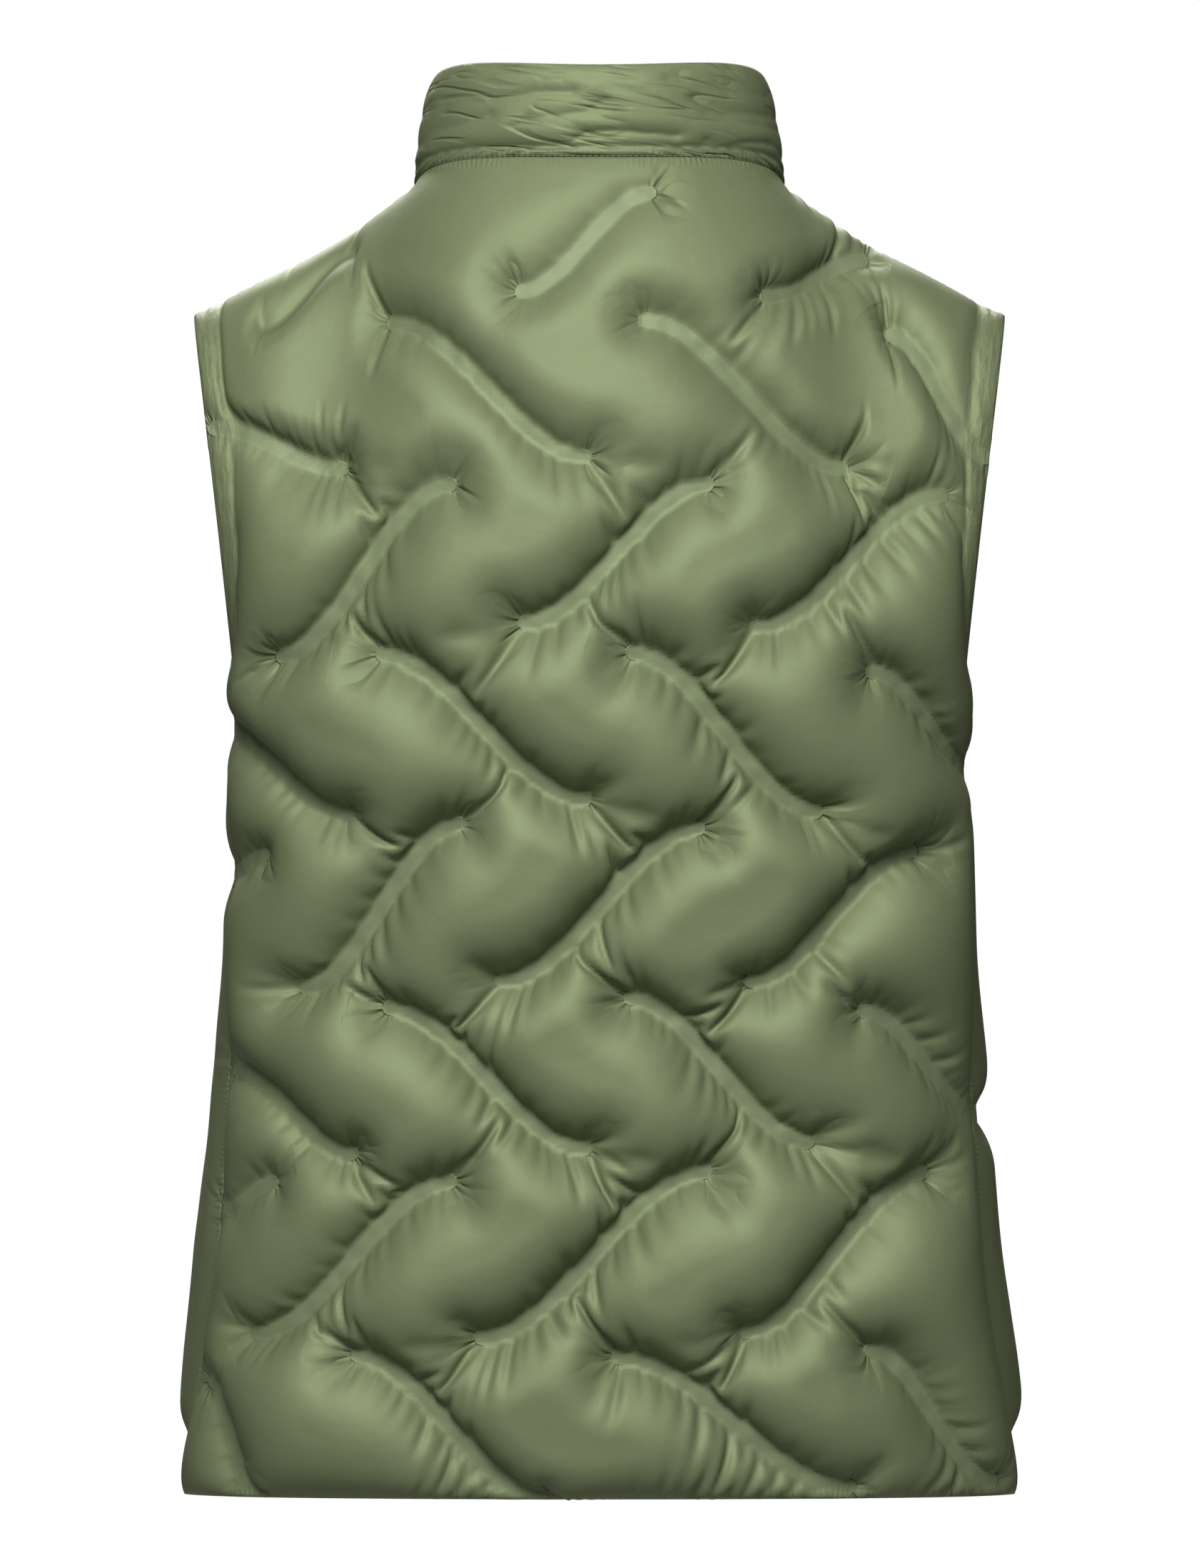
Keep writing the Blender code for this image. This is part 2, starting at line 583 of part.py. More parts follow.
def add_slider():
    """The slider and its pull tab, built in the slider's own axes."""
    line, along = zip_line()
    place = along[-1] - SLIDER_DROP
    middle = on_zip(line, along, place) - np.array([0.0, 0.0, HOLD_HEIGHT])
    up = unit(on_zip(line, along, place + 5 * MM) - on_zip(line, along, place - 5 * MM))
    seat = bpy.data.objects.new("slider_seat", None)
    seat.location = middle
    seat.rotation_euler = (math.atan2(-up[1], up[2]), 0.0, 0.0)
    vest.objects.link(seat)

    body = block("zip_slider", vest)
    post, back, bail, hole = (block(name, tools) for name in
                              ("slider_post", "slider_back", "slider_bail", "slider_bail_hole"))
    combine(bail, hole, "DIFFERENCE")
    for other in (post, back, bail):
        combine(body, other, "UNION")

    pull = block("zip_pull", vest)
    eye = block("pull_eye", tools)
    combine(pull, eye, "DIFFERENCE")
    pull.location = (0.0, -PULL_PIN * MM, 0.0)
    for piece in (body, post, back, bail, hole, pull):
        piece.parent = seat
    eye.parent = pull
    painted(body, METAL)
    painted(pull, METAL)


vest = bpy.data.collections.new("puffer_vest")
bpy.context.scene.collection.children.link(vest)

tools = bpy.data.collections.new("cutters")
bpy.context.scene.collection.children.link(tools)

add_back()
add_fronts()
add_collar()
add_zip_tapes()
add_slider()
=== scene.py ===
"""The look of a quilted puffer vest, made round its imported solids.

The back of the vest faces +Y, the wearer's left is +X, and the origin lies between the neck points
of the shoulders. Sizes are in metres. Heights in the tables are above the back hem.
"""
import math
import bmesh
import bpy
import numpy as np
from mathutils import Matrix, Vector, noise


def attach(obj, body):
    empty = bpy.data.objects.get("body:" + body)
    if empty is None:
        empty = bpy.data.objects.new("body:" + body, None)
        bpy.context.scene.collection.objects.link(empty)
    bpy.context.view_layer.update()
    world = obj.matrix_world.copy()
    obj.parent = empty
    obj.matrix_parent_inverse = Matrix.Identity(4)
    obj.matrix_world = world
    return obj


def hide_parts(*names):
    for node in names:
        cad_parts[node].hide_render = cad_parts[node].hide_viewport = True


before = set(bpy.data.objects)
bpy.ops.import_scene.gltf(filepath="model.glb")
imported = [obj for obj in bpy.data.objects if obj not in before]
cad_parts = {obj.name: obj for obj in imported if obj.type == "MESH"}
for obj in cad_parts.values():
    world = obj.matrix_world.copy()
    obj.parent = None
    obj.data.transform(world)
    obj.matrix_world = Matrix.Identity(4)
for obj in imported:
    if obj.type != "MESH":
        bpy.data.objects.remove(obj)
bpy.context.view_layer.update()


# ---- Studio ------------------------------------------------------------------------------------
# The vest hangs as if worn, well above a grey floor, in a white room. A wide soft box high behind
# the camera lights the back, and another like it the chest.
EYE = Vector((0.0, 4.0, -0.2908))
LENS = 187.3                  # mm, on a sensor 36 mm along its long side
MIDDLE = Vector((0.0, 0.0, -0.29))
FLOOR_HEIGHT = -1.02
SOFT_BOXES = (                # name, place, width, height, watts
    ("key", (0.25, 2.90, 2.10), 2.2, 1.4, 196.0),
    ("chest", (0.25, -2.90, 2.10), 2.2, 1.4, 196.0),
)
ROOM_LIGHT = 0.03


def material(name, colour, roughness, **sockets):
    """A new material, its shader's own values set; returns it, its node tree and its shader."""
    made = bpy.data.materials.new(name)
    made.use_nodes = True
    shader = made.node_tree.nodes["Principled BSDF"]
    shader.inputs["Base Color"].default_value = (*colour, 1.0)
    shader.inputs["Roughness"].default_value = roughness
    for socket, value in sockets.items():
        shader.inputs[socket.replace("_", " ")].default_value = value
    return made, made.node_tree, shader


def node(tree, kind, inputs=None, **settings):
    """A new node with its settings, its inputs given as values or as outputs to link from."""
    made = tree.nodes.new(kind)
    for key, value in settings.items():
        setattr(made, key, value)
    for key, value in (inputs or {}).items():
        if isinstance(value, bpy.types.NodeSocket):
            tree.links.new(value, made.inputs[key])
        else:
            made.inputs[key].default_value = value
    return made


def two_tone(tree, share, first, second):
    """A ramp between two colours, and its output."""
    ramp = node(tree, "ShaderNodeValToRGB", {"Fac": share})
    ramp.color_ramp.elements[0].color = (*first, 1.0)
    ramp.color_ramp.elements[1].color = (*second, 1.0)
    return ramp.color_ramp, ramp.outputs["Color"]


scene = bpy.context.scene
scene.view_settings.view_transform = "Standard"

camera = bpy.data.objects.new("camera", bpy.data.cameras.new("camera"))
camera.data.lens = LENS
camera.data.sensor_width = 36.0
camera.location = EYE
camera.rotation_euler = (math.pi / 2, 0.0, math.pi)
scene.collection.objects.link(camera)
scene.camera = camera

for name, place, width, height, watts in SOFT_BOXES:
    box = bpy.data.lights.new(name, "AREA")
    box.shape = "RECTANGLE"
    box.size, box.size_y, box.energy = width, height, watts
    lamp = bpy.data.objects.new(name, box)
    lamp.location = place
    lamp.rotation_euler = (MIDDLE - lamp.location).to_track_quat("-Z", "Y").to_euler()
    scene.collection.objects.link(lamp)

room = bpy.data.worlds.new("white_room")
room.use_nodes = True
scene.world = room
tree = room.node_tree
shown = node(tree, "ShaderNodeBackground", {"Color": (1.0, 1.0, 1.0, 1.0), "Strength": 1.0})
lit = node(tree, "ShaderNodeBackground", {"Color": (0.97, 0.98, 1.0, 1.0), "Strength": ROOM_LIGHT})
path = node(tree, "ShaderNodeLightPath")
mix = node(tree, "ShaderNodeMixShader", {0: path.outputs["Is Camera Ray"], 1: lit.outputs[0],
                                         2: shown.outputs[0]})
tree.links.new(mix.outputs[0], tree.nodes["World Output"].inputs["Surface"])

floor_mesh = bpy.data.meshes.new("floor")
rim = [(2.2 * math.cos(a), 2.2 * math.sin(a), FLOOR_HEIGHT)
       for a in np.linspace(0.0, 2 * math.pi, 96, endpoint=False)]
floor_mesh.from_pydata(rim, [], [range(96)])
floor = bpy.data.objects.new("floor", floor_mesh)
scene.collection.objects.link(floor)
grey, tree, shader = material("grey_floor", (0.22, 0.22, 0.22), 0.75)
speck = node(tree, "ShaderNodeTexNoise", {"Scale": 6.0, "Detail": 3.0})
tone = two_tone(tree, speck.outputs["Fac"], (0.21, 0.21, 0.21), (0.23, 0.23, 0.23))[1]
tree.links.new(tone, shader.inputs["Base Color"])
floor_mesh.materials.append(grey)


# ---- Back panel --------------------------------------------------------------------------------
# One piece of light satin from hem to neckline, with a plain inside layer. The two layers are
# bonded together along short S-shaped lines and the spaces between are softly padded, so the
# outside swells and gathers towards the ends of each line.
HOLD_HEIGHT = 0.632           # neck points of the shoulders above the back hem
UNDERARM_HEIGHT = 0.385
FRONT_HEM_HEIGHT = 0.023      # the back is this much longer than the fronts
HEM_DIP = 0.006
CORNER_RISE = 0.006
CORNER_START = 0.95
CLOTH = 0.002                 # both layers together, where they are bonded or sewn
SEAM_GAP = 0.0003
ROUNDNESS = 2.5               # exponent of the body's oval sections
ZIP_HALF_WIDTH = 0.005
SECTION_COLUMNS = ("height", "half_width", "back_depth", "front_depth", "seam")
SECTIONS = (
    (0.000, 0.2020, 0.109, 0.112, 0.012),
    (0.047, 0.1965, 0.110, 0.113, 0.030),
    (0.110, 0.1885, 0.108, 0.112, 0.036),
    (0.175, 0.1825, 0.104, 0.111, 0.030),
    (0.240, 0.1780, 0.102, 0.112, 0.022),
    (0.310, 0.1760, 0.102, 0.115, 0.014),
    (0.385, 0.1765, 0.105, 0.118, 0.010),
)
NECK_HALF_WIDTH, NECK_BACK_DEPTH, NECK_FRONT_DEPTH = 0.0880, 0.064, 0.074
NECK_SLOPE, NECK_CURVE = 0.444, -4.21
TIP = (0.1982, -0.004, 0.5690)
SHOULDER_BEND = (0.117, 0.000, 0.6040)
NECK_LEAN = (0.40, 0.85)
ARRIVAL = (0.95, 0.42, 0.85)
UPRIGHT_STEP = 0.004          # height below the underarm that gives the yoke its first direction
NECK_SLANT = 1.5              # how late along the neckline the cloth starts to slant outwards
SEAM_LEVEL = 0.6              # share of the shoulder seam after which the cloth crosses it level
ARMHOLE_SCOOP = 1.7           # how flat the armhole runs out from under the arm
ARMHOLE_SHARE = 0.6           # share of the underarm row at which that begins
ARMHOLE_BEND = 1.6            # and how suddenly it does
ARMHOLE_REACH = 0.3           # extra reach of the cloth there
DRAPE_STEPS = 90              # of easing the cloth below the neck points

# cells of the cloth: 2 mm, in multiples of four because it is settled on three meshes in turn
NECK_CELLS = 60
SHOULDER_CELLS = 60
VENT_CELLS = 12
BODY_CELLS = 180
YOKE_CELLS = 128
INSIDE_STEP = 4

FAR = 1.0                     # metres: further than any two places on the vest
LEAST_TURNED = 0.3            # least share of its width that cloth shows as it turns to the side
ZIP_EDGE_WITHIN = 0.05        # an edge nearer the middle than this is at the zip
BOND_HALF_WIDTH = 0.0038
BOND_POINTS = 17              # along each line
BOND_LINES = (                # name, start and end, millimetres across (+X) and above the hem
    ("A0", 116, 598, 158, 563), ("A1", -24, 625, 37, 577), ("A2", -128, 595, -79, 575),
    ("B0", 186, 513, 123, 492), ("B1", 99, 563, 7, 497), ("B2", -22, 563, -116, 492),
    ("B3", -141, 558, -186, 499), ("C1", 71, 484, 152, 403), ("C2", -51, 484, 35, 418),
    ("C3", -164, 480, -75, 416), ("D0", 186, 372, 120, 327), ("D1", 103, 403, 7, 334),
    ("D2", -16, 404, -103, 328), ("D3", -130, 395, -186, 344), ("E0", 160, 307, 178, 298),
    ("E1", 67, 322, 140, 243), ("E2", -47, 320, 46, 247), ("E3", -149, 309, -72, 247),
    ("F0", 175, 203, 118, 164), ("F1", 100, 234, 7, 167), ("F2", -15, 239, -99, 170),
    ("F3", -126, 232, -185, 180), ("G0", 156, 149, 179, 135), ("G1", 71, 151, 163, 77),
    ("G2", -50, 156, 56, 77), ("G3", -154, 154, -70, 80), ("H0", 186, 52, 165, -1),
    ("H1", 115, 68, 28, 2), ("H2", -9, 68, -119, 5), ("H3", -129, 70, -189, 4),
)

# Where the cloth is drawn down from the end of one line to the start of the next: the two lines
# and the share of the filling's height that is lost there.
TUCKS = (("B0", "C1", 0.30), ("B1", "C2", 0.40), ("B2", "C3", 0.30), ("C2", "D1", 0.35),
         ("C3", "D2", 0.25), ("D0", "E1", 0.30), ("D1", "E2", 0.45), ("D2", "E3", 0.45),
         ("E1", "F0", 0.30), ("E2", "F1", 0.25), ("E3", "F2", 0.25), ("F0", "G1", 0.30),
         ("F1", "G2", 0.45), ("F2", "G3", 0.45), ("G1", "H0", 0.30), ("G2", "H1", 0.40),
         ("G3", "H2", 0.35), ("C1", "D0", 0.30), ("D3", "E3", 0.20))
TUCK_REACH = 0.011
SOFT_CREASES = ("A0",)        # lines that show as a crease only, not as a pressed strip
CREASE_LOSS, CREASE_REACH = 0.65, 0.006

FILL_PUSH = 2.4e-5            # how hard the padding pushes the cloth out at each step
TALLEST = 0.0215              # the cloth stands no further than this from the inside layer
SLACK = 0.092                 # spare cloth between the bonded lines, as a share of its length
END_SLACK = 0.020             # more of it round the ends of each line, where it gathers
END_REACH = 0.020
SAG = 0.22                    # weight of the padding in each pocket, beside its push
YOKE_FULLNESS = 0.60          # share of the filling over the shoulder blades
TOP_FULLNESS = (0.22, 0.80)   # at the neckline, and at the tips of the shoulders
TOP_REACH = 0.070
SIDE_FULLNESS = 0.30          # and along the side seams
BACK_SIDE_REACH, FRONT_SIDE_REACH = 0.030, 0.075      # how far in from them the filling is thinner
LINE_UNEVEN = 0.0007          # rise and fall along the bonded lines
BAND_WIDTH = 0.014            # of the lightly filled band round each armhole
BAND_TALLEST = 0.0050
ZIP_FACING = 0.0065           # the cloth lies flat this far from the zip, for its stitching
BAND_SEAM = 0.0025            # half width of the dent between that band and the rest of the panel
BAND_DENT = 0.6               # and the share of the height lost in it
BAND_FADE = 0.02              # height above the underarm over which the band begins
YOKE_START, YOKE_RISE = 0.40, 0.16       # where the filling starts to thin, and over what height
TIP_SPAN = (0.10, 0.18)       # across, from the neckline's share of the filling to the tips'
END_BORDER = 0.010            # creases stop where two line ends are within this of equally near
NO_CREASE = 0.040             # a distance from any end at which no crease is left
SLACK_UNEVEN, SLACK_PATCH = 0.024, 0.05       # how much the spare cloth varies, in patches
PUSH_UNEVEN, PUSH_PATCH = 0.5, 0.07           # and the padding's push
LIMIT_UNEVEN, LIMIT_PATCH = 0.16, 0.06        # and its greatest height
LINE_PATCH, LINE_WIDTH = 0.009, 0.01          # patches of the lines' rise, and where they reach
PANEL_STEPS = (400, 300, 200)
KEPT_SPEED = 0.97             # share of its speed that the cloth keeps at each step
DIAGONAL_HOLD, BEND_HOLD = 0.7, 0.05          # of threads on the bias, and against folding
DOME_STEPS = 400              # of spreading the first, rounded shape from the bonded lines
DOME_SHARE, DOME_ROUND = 0.5, 1.6             # its height as a share of the limit, and roundness


def column(name):
    """One column of the body sections."""
    return np.array([row[SECTION_COLUMNS.index(name)] for row in SECTIONS])


def smooth_curve(heights, values, at):
    """Value at each height of a smooth curve through the table's points."""
    slopes = np.gradient(values, heights)
    at = np.clip(at, heights[0], heights[-1])
    k = np.clip(np.searchsorted(heights, at) - 1, 0, len(heights) - 2)
    span = heights[k + 1] - heights[k]
    t = (at - heights[k]) / span
    return ((2 * t**3 - 3 * t**2 + 1) * values[k] + (t**3 - 2 * t**2 + t) * span * slopes[k]
            + (3 * t**2 - 2 * t**3) * values[k + 1] + (t**3 - t**2) * span * slopes[k + 1])


def unit(vectors):
    """The same directions with a length of one."""
    return vectors / np.linalg.norm(vectors, axis=-1, keepdims=True)


def spread(points, count):
    """The same path as evenly spaced points, count cells long."""
    lengths = np.linalg.norm(np.diff(points, axis=0), axis=1)
    along = np.concatenate(([0.0], np.cumsum(lengths)))
    places = np.linspace(0.0, along[-1], count + 1)
    return np.stack([np.interp(places, along, points[:, k]) for k in range(3)], axis=1)


def body_row(height, side, cells):
    """Half a body section, from the centre line to the side seam; side is +1 back, -1 front."""
    heights = column("height")
    a, back, front, seam = (float(smooth_curve(heights, column(name), height))
                            for name in SECTION_COLUMNS[1:])
    power = 2.0 / ROUNDNESS
    start = 0.0 if side > 0 else math.pi - math.asin((ZIP_HALF_WIDTH / a) ** (1.0 / power))
    angles = np.linspace(start, math.acos((seam / back) ** (1.0 / power)), 600)
    depth = np.where(np.cos(angles) > 0, back, front)
    x = a * np.abs(np.sin(angles)) ** power
    y = np.sign(np.cos(angles)) * depth * np.abs(np.cos(angles)) ** power
    return spread(np.stack([x, y, np.full_like(x, height)], axis=1), cells)


def neckline(side, cells):
    """Half the neckline, from the centre line to the neck point."""
    first = 0.0 if side > 0 else ZIP_HALF_WIDTH
    depth = NECK_BACK_DEPTH if side > 0 else NECK_FRONT_DEPTH
    angles = np.linspace(math.asin(first / NECK_HALF_WIDTH), math.pi / 2, 300)
    y = side * depth * np.cos(angles)
    height = HOLD_HEIGHT + NECK_SLOPE * y + NECK_CURVE * y**2
    return spread(np.stack([NECK_HALF_WIDTH * np.sin(angles), y, height], axis=1), cells)


def shoulder_seam(cells):
    """The shoulder seam, from the neck point to the tip."""
    neck = np.array([NECK_HALF_WIDTH, 0.0, HOLD_HEIGHT])
    t = np.linspace(0.0, 1.0, 300)[:, None]
    return spread((1 - t)**2 * neck + 2 * t * (1 - t) * np.array(SHOULDER_BEND)
                  + t**2 * np.array(TIP), cells)


def yoke(side):
    """The form from the underarm level up to the neckline and the shoulder seam."""
    cells = NECK_CELLS + SHOULDER_CELLS
    low = body_row(UNDERARM_HEIGHT, side, cells)
    below = body_row(UNDERARM_HEIGHT - UPRIGHT_STEP, side, cells)
    neck, seam = neckline(side, NECK_CELLS), shoulder_seam(SHOULDER_CELLS)
    top = np.concatenate([neck, seam[1:]])
    share = np.linspace(0.0, 1.0, cells + 1)[:, None]
    reach = np.linalg.norm(top - low, axis=1)[:, None]

    # upright from the body, but swinging towards the centre beside the armhole
    swing = np.clip((share - ARMHOLE_SHARE) / (1 - ARMHOLE_SHARE), 0.0, 1.0) ** ARMHOLE_BEND
    leave = unit(unit(low - below) + swing * np.array([0.0, side * ARMHOLE_SCOOP, 0.0]))
    leave = leave * (1 + ARMHOLE_REACH * swing) * reach

    # square to the neckline at the centre and to the shoulder seam at its tip
    along_seam = unit(np.gradient(seam, axis=0))
    along_neck = unit(np.gradient(neck, axis=0))
    along_neck[-1] = unit(np.array([0.0, -side, -side * NECK_SLOPE]))
    neck_share = np.linspace(0.0, 1.0, NECK_CELLS + 1)[:, None]
    turn = neck_share * math.pi / 2
    lean = NECK_LEAN[0] + (NECK_LEAN[1] - NECK_LEAN[0]) * neck_share
    to_neck = unit(np.concatenate([-lean * np.sin(turn), -side * lean * np.cos(turn),
                                   np.ones_like(turn)], axis=1))
    to_neck[-1] = -along_seam[0]
    over_neck = unit(to_neck + neck_share**NECK_SLANT * along_neck)
    fade = np.clip(1 - np.linspace(0.0, 1.0, SHOULDER_CELLS + 1) / SEAM_LEVEL, 0, 1)[:, None]
    level = np.array([0.0, -side, 0.0])
    over_seam = unit(level + fade * (along_neck[-1] - level) - fade * along_seam)
    arrive = np.concatenate([over_neck, over_seam[1:]])
    arrive = np.interp(share, (0.0, 0.5, 1.0), ARRIVAL) * arrive * reach

    t = np.linspace(0.0, 1.0, YOKE_CELLS + 1)[:, None, None]
    form = ((2 * t**3 - 3 * t**2 + 1) * low + (t**3 - 2 * t**2 + t) * leave
            + (3 * t**2 - 2 * t**3) * top + (t**3 - t**2) * arrive)
    for _ in range(DRAPE_STEPS):
        form[1:-1, 1:-1] = (form[:-2, 1:-1] + form[2:, 1:-1] + form[1:-1, :-2]
                            + form[1:-1, 2:]) / 4
    return form


def half_panel(side):
    """Inside layer of the back's left half or of a front: rows up, columns out to the side."""
    heights = list(np.linspace(FRONT_HEM_HEIGHT, UNDERARM_HEIGHT, BODY_CELLS + 1)[:-1])
    if side > 0:
        heights = list(np.linspace(0.0, FRONT_HEM_HEIGHT, VENT_CELLS + 1)[:-1]) + heights
    cells = NECK_CELLS + SHOULDER_CELLS
    form = np.concatenate([[body_row(height, side, cells) for height in heights], yoke(side)])
    if side > 0:
        share = np.linspace(0.0, 1.0, cells + 1)
        corner = np.clip((share - CORNER_START) / (1 - CORNER_START), 0, 1)
        rise = CORNER_RISE * corner**2 - HEM_DIP * share**3
        fade = 1 - np.arange(VENT_CELLS) / VENT_CELLS
        form[:VENT_CELLS, :, 2] += fade[:, None] * rise
    return form


def mirrored(points):
    """The same points on the other side of the body."""
    return points * np.array([-1.0, 1.0, 1.0])


def outward(form):
    """Unit normals of a panel, pointing away from the wearer."""
    normals = unit(np.cross(np.gradient(form, axis=0), np.gradient(form, axis=1)))
    middle = form.shape[0] // 3, form.shape[1] // 2
    away = form[middle] - np.array([0.0, 0.0, form[middle][2]])
    return normals if np.dot(normals[middle], away) > 0 else -normals


def side_normals(form, normals):
    """The same normals, but equal on both sides of the side seam."""
    below = form[:, -1, 2] < UNDERARM_HEIGHT + 0.0001
    for col in (0, -1):
        edge = form[below, col]
        if abs(edge[0, 0]) > ZIP_EDGE_WITHIN:
            a, depth = (smooth_curve(column("height"), column(name), edge[:, 2])
                        for name in ("half_width", "back_depth"))
            across = np.sign(edge[:, 0]) * np.abs(edge[:, 0] / a) ** (ROUNDNESS - 1) / a
            back = np.abs(edge[:, 1] / depth) ** (ROUNDNESS - 1) / depth
            normals[below, col] = unit(np.stack([across, back, np.zeros_like(across)], axis=1))
    return normals


def inset(form, normals, distance):
    """Draw the four edges of a panel back by a distance within its own surface."""
    moved = form.copy()
    whole = slice(None)
    for edge, beside in (((0, whole), (1, whole)), ((-1, whole), (-2, whole)),
                         ((whole, 0), (whole, 1)), ((whole, -1), (whole, -2))):
        along = unit(np.gradient(form[edge], axis=0))
        inward = unit(np.cross(normals[edge], along))
        inward *= np.sign(np.einsum("rk,rk->r", inward, form[beside] - form[edge]))[:, None]
        moved[edge] += distance * inward
    return moved


def from_path(form, turned, x, z):
    """Distance along the cloth from each point to a path given by its places seen from behind."""
    nearest = np.full(form.shape[:2], FAR)
    for k in range(len(x) - 1):
        dx, dz = (form[..., 0] - x[k]) / turned, form[..., 2] - z[k]
        ex, ez = (x[k + 1] - x[k]) / turned, z[k + 1] - z[k]
        share = np.clip((dx * ex + dz * ez) / (ex**2 + ez**2), 0, 1)
        nearest = np.minimum(nearest, np.hypot(dx - share * ex, dz - share * ez))
    return nearest


def bond_distance(form, normals):
    """Distance from each point to the nearest bonded line, the way to its nearest end in two
    parts, outwards and up, how far the next end is, and the share of filling that is left."""
    turned = np.clip(np.abs(normals[..., 1]), LEAST_TURNED, 1.0)
    t = np.linspace(0.0, 1.0, BOND_POINTS)
    ease = t * t * (3 - 2 * t)
    line, left = np.full(form.shape[:2], FAR), np.ones(form.shape[:2])
    beyond, beside, second = line.copy(), line.copy(), line.copy()
    ends = {}
    for name, x0, z0, x1, z1 in BOND_LINES:
        x, z = (x0 + (x1 - x0) * t) / 1000, (z0 + (z1 - z0) * ease) / 1000
        ends[name] = (x[0], z[0]), (x[-1], z[-1])
        away = from_path(form, turned, x, z)
        if name in SOFT_CREASES:
            left = np.minimum(left, 1 - CREASE_LOSS * np.exp(-(away / CREASE_REACH) ** 2))
            continue
        line = np.minimum(line, away)
        for k, outward_x in ((0, math.copysign(1, x0 - x1)), (-1, math.copysign(1, x1 - x0))):
            dx, dz = (form[..., 0] - x[k]) / turned * outward_x, form[..., 2] - z[k]
            reach, nearest = np.hypot(dx, dz), np.hypot(beyond, beside)
            second = np.minimum(second, np.maximum(reach, nearest))
            nearer = reach < nearest
            beyond, beside = np.where(nearer, dx, beyond), np.where(nearer, dz, beside)
    for above, below, share in TUCKS:
        (x0, z0), (x1, z1) = ends[above][1], ends[below][0]
        away = from_path(form, turned, np.array([x0, x1]), np.array([z0, z1]))
        left = np.minimum(left, 1 - share * np.exp(-(away / TUCK_REACH) ** 2))
    return line, beyond, beside, second, left


def patchy(form, size, seed):
    """Smooth unevenness over the cloth, from -1 to 1, in patches of about that size."""
    shift = Vector((seed * 7.3, seed * 3.1, seed * 5.7))
    points = form.reshape(-1, 3) / size
    return np.array([noise.noise(Vector(p) + shift) for p in points]).reshape(form.shape[:2])


def draw(first, second, free_first, free_second, rest, pull, push):
    """Move two sets of points towards their rest distance, by a share when too far or too near."""
    gap = second - first
    length = np.sqrt(np.einsum("...k,...k->...", gap, gap))
    over = 1.0 - rest / length
    over = np.where(over > 0.0, pull, push) * over / np.maximum(free_first + free_second, 1e-9)
    step = gap * over[..., None]
    first += step * free_first[..., None]
    second -= step * free_second[..., None]


def thread_sets():
    """Pairs of neighbouring points, in sets where no point is met twice: yarns, bias and bend."""
    whole, low_side, high_side = slice(None), slice(None, -1), slice(1, None)
    sets = []
    for odd in (0, 1):
        low, high = slice(odd, -1, 2), slice(odd + 1, None, 2)
        sets += [((low, whole), (high, whole), 1.0, 1.0), ((whole, low), (whole, high), 1.0, 1.0),
                 ((low, low_side), (high, high_side), DIAGONAL_HOLD, DIAGONAL_HOLD),
                 ((low, high_side), (high, low_side), DIAGONAL_HOLD, DIAGONAL_HOLD)]
    for start in range(4):
        low, high = slice(start, -2, 4), slice(start + 2, None, 4)
        sets += [((low, whole), (high, whole), 0.0, BEND_HOLD),
                 ((whole, low), (whole, high), 0.0, BEND_HOLD)]
    return sets


def settle(cloth, form, normals, cut, slack, free, steps, push, tallest):
    """Let the cloth come to rest: pushed out by its filling and held where it is sewn."""
    sets = [(first, second, pull, resist,
             np.linalg.norm(cut[second] - cut[first], axis=-1) * (slack[first] + slack[second]) / 2)
            for first, second, pull, resist in thread_sets()]
    before = cloth.copy()
    for _ in range(steps):
        drift = KEPT_SPEED * (cloth - before)
        before = cloth.copy()
        out = np.cross(np.gradient(cloth, axis=0), np.gradient(cloth, axis=1))
        out /= np.maximum(np.linalg.norm(out, axis=-1, keepdims=True), 1e-12)
        out *= np.sign(np.einsum("...k,...k->...", out, normals))[..., None]
        out[..., 2] -= SAG
        cloth += (drift + out * push[..., None]) * free[..., None]
        for first, second, pull, resist, rest in sets:
            draw(cloth[first], cloth[second], free[first], free[second], rest, pull, resist)
        height = np.einsum("...k,...k->...", cloth - form, normals)
        allowed = np.clip(height, CLOTH, tallest)
        cloth += normals * ((allowed - height) * free)[..., None]
    return cloth


def filled(form, normals, sewn_at, seam_height, cut, slack, push, tallest, steps):
    """The outside layer of a padded piece, settled on a coarse mesh and then on finer ones."""
    cloth = None
    for spacing, count in zip((4, 2, 1), steps):
        every = slice(None, None, spacing), slice(None, None, spacing)
        sewn = sewn_at(spacing)[every]
        lying = (form + normals * seam_height[..., None])[every]
        if cloth is None:
            height = np.zeros(sewn.shape)
            for _ in range(DOME_STEPS):
                around = (np.roll(height, 1, 0) + np.roll(height, -1, 0)
                          + np.roll(height, 1, 1) + np.roll(height, -1, 1)) / 4
                height = np.where(sewn, 0.0, around + 1.0)
            rise = (DOME_SHARE * tallest[every]
                    * (1 - np.exp(-DOME_ROUND * height / np.percentile(height, 90))))
            cloth = lying + normals[every] * rise[..., None]
        else:
            rows, columns = cloth.shape[:2]
            finer = np.empty((2 * rows - 1, columns, 3))
            finer[::2], finer[1::2] = cloth, (cloth[1:] + cloth[:-1]) / 2
            cloth = np.empty((2 * rows - 1, 2 * columns - 1, 3))
            cloth[:, ::2], cloth[:, 1::2] = finer, (finer[:, 1:] + finer[:, :-1]) / 2
            cloth = np.where(sewn[..., None], lying, cloth)
        cloth = settle(cloth.astype(np.float32), form[every].astype(np.float32),
                       normals[every].astype(np.float32), cut[every].astype(np.float32),
                       slack[every].astype(np.float32), np.where(sewn, 0.0, 1.0).astype(np.float32),
                       count, (push[every] * spacing).astype(np.float32),
                       tallest[every].astype(np.float32))
    return cloth.astype(float)


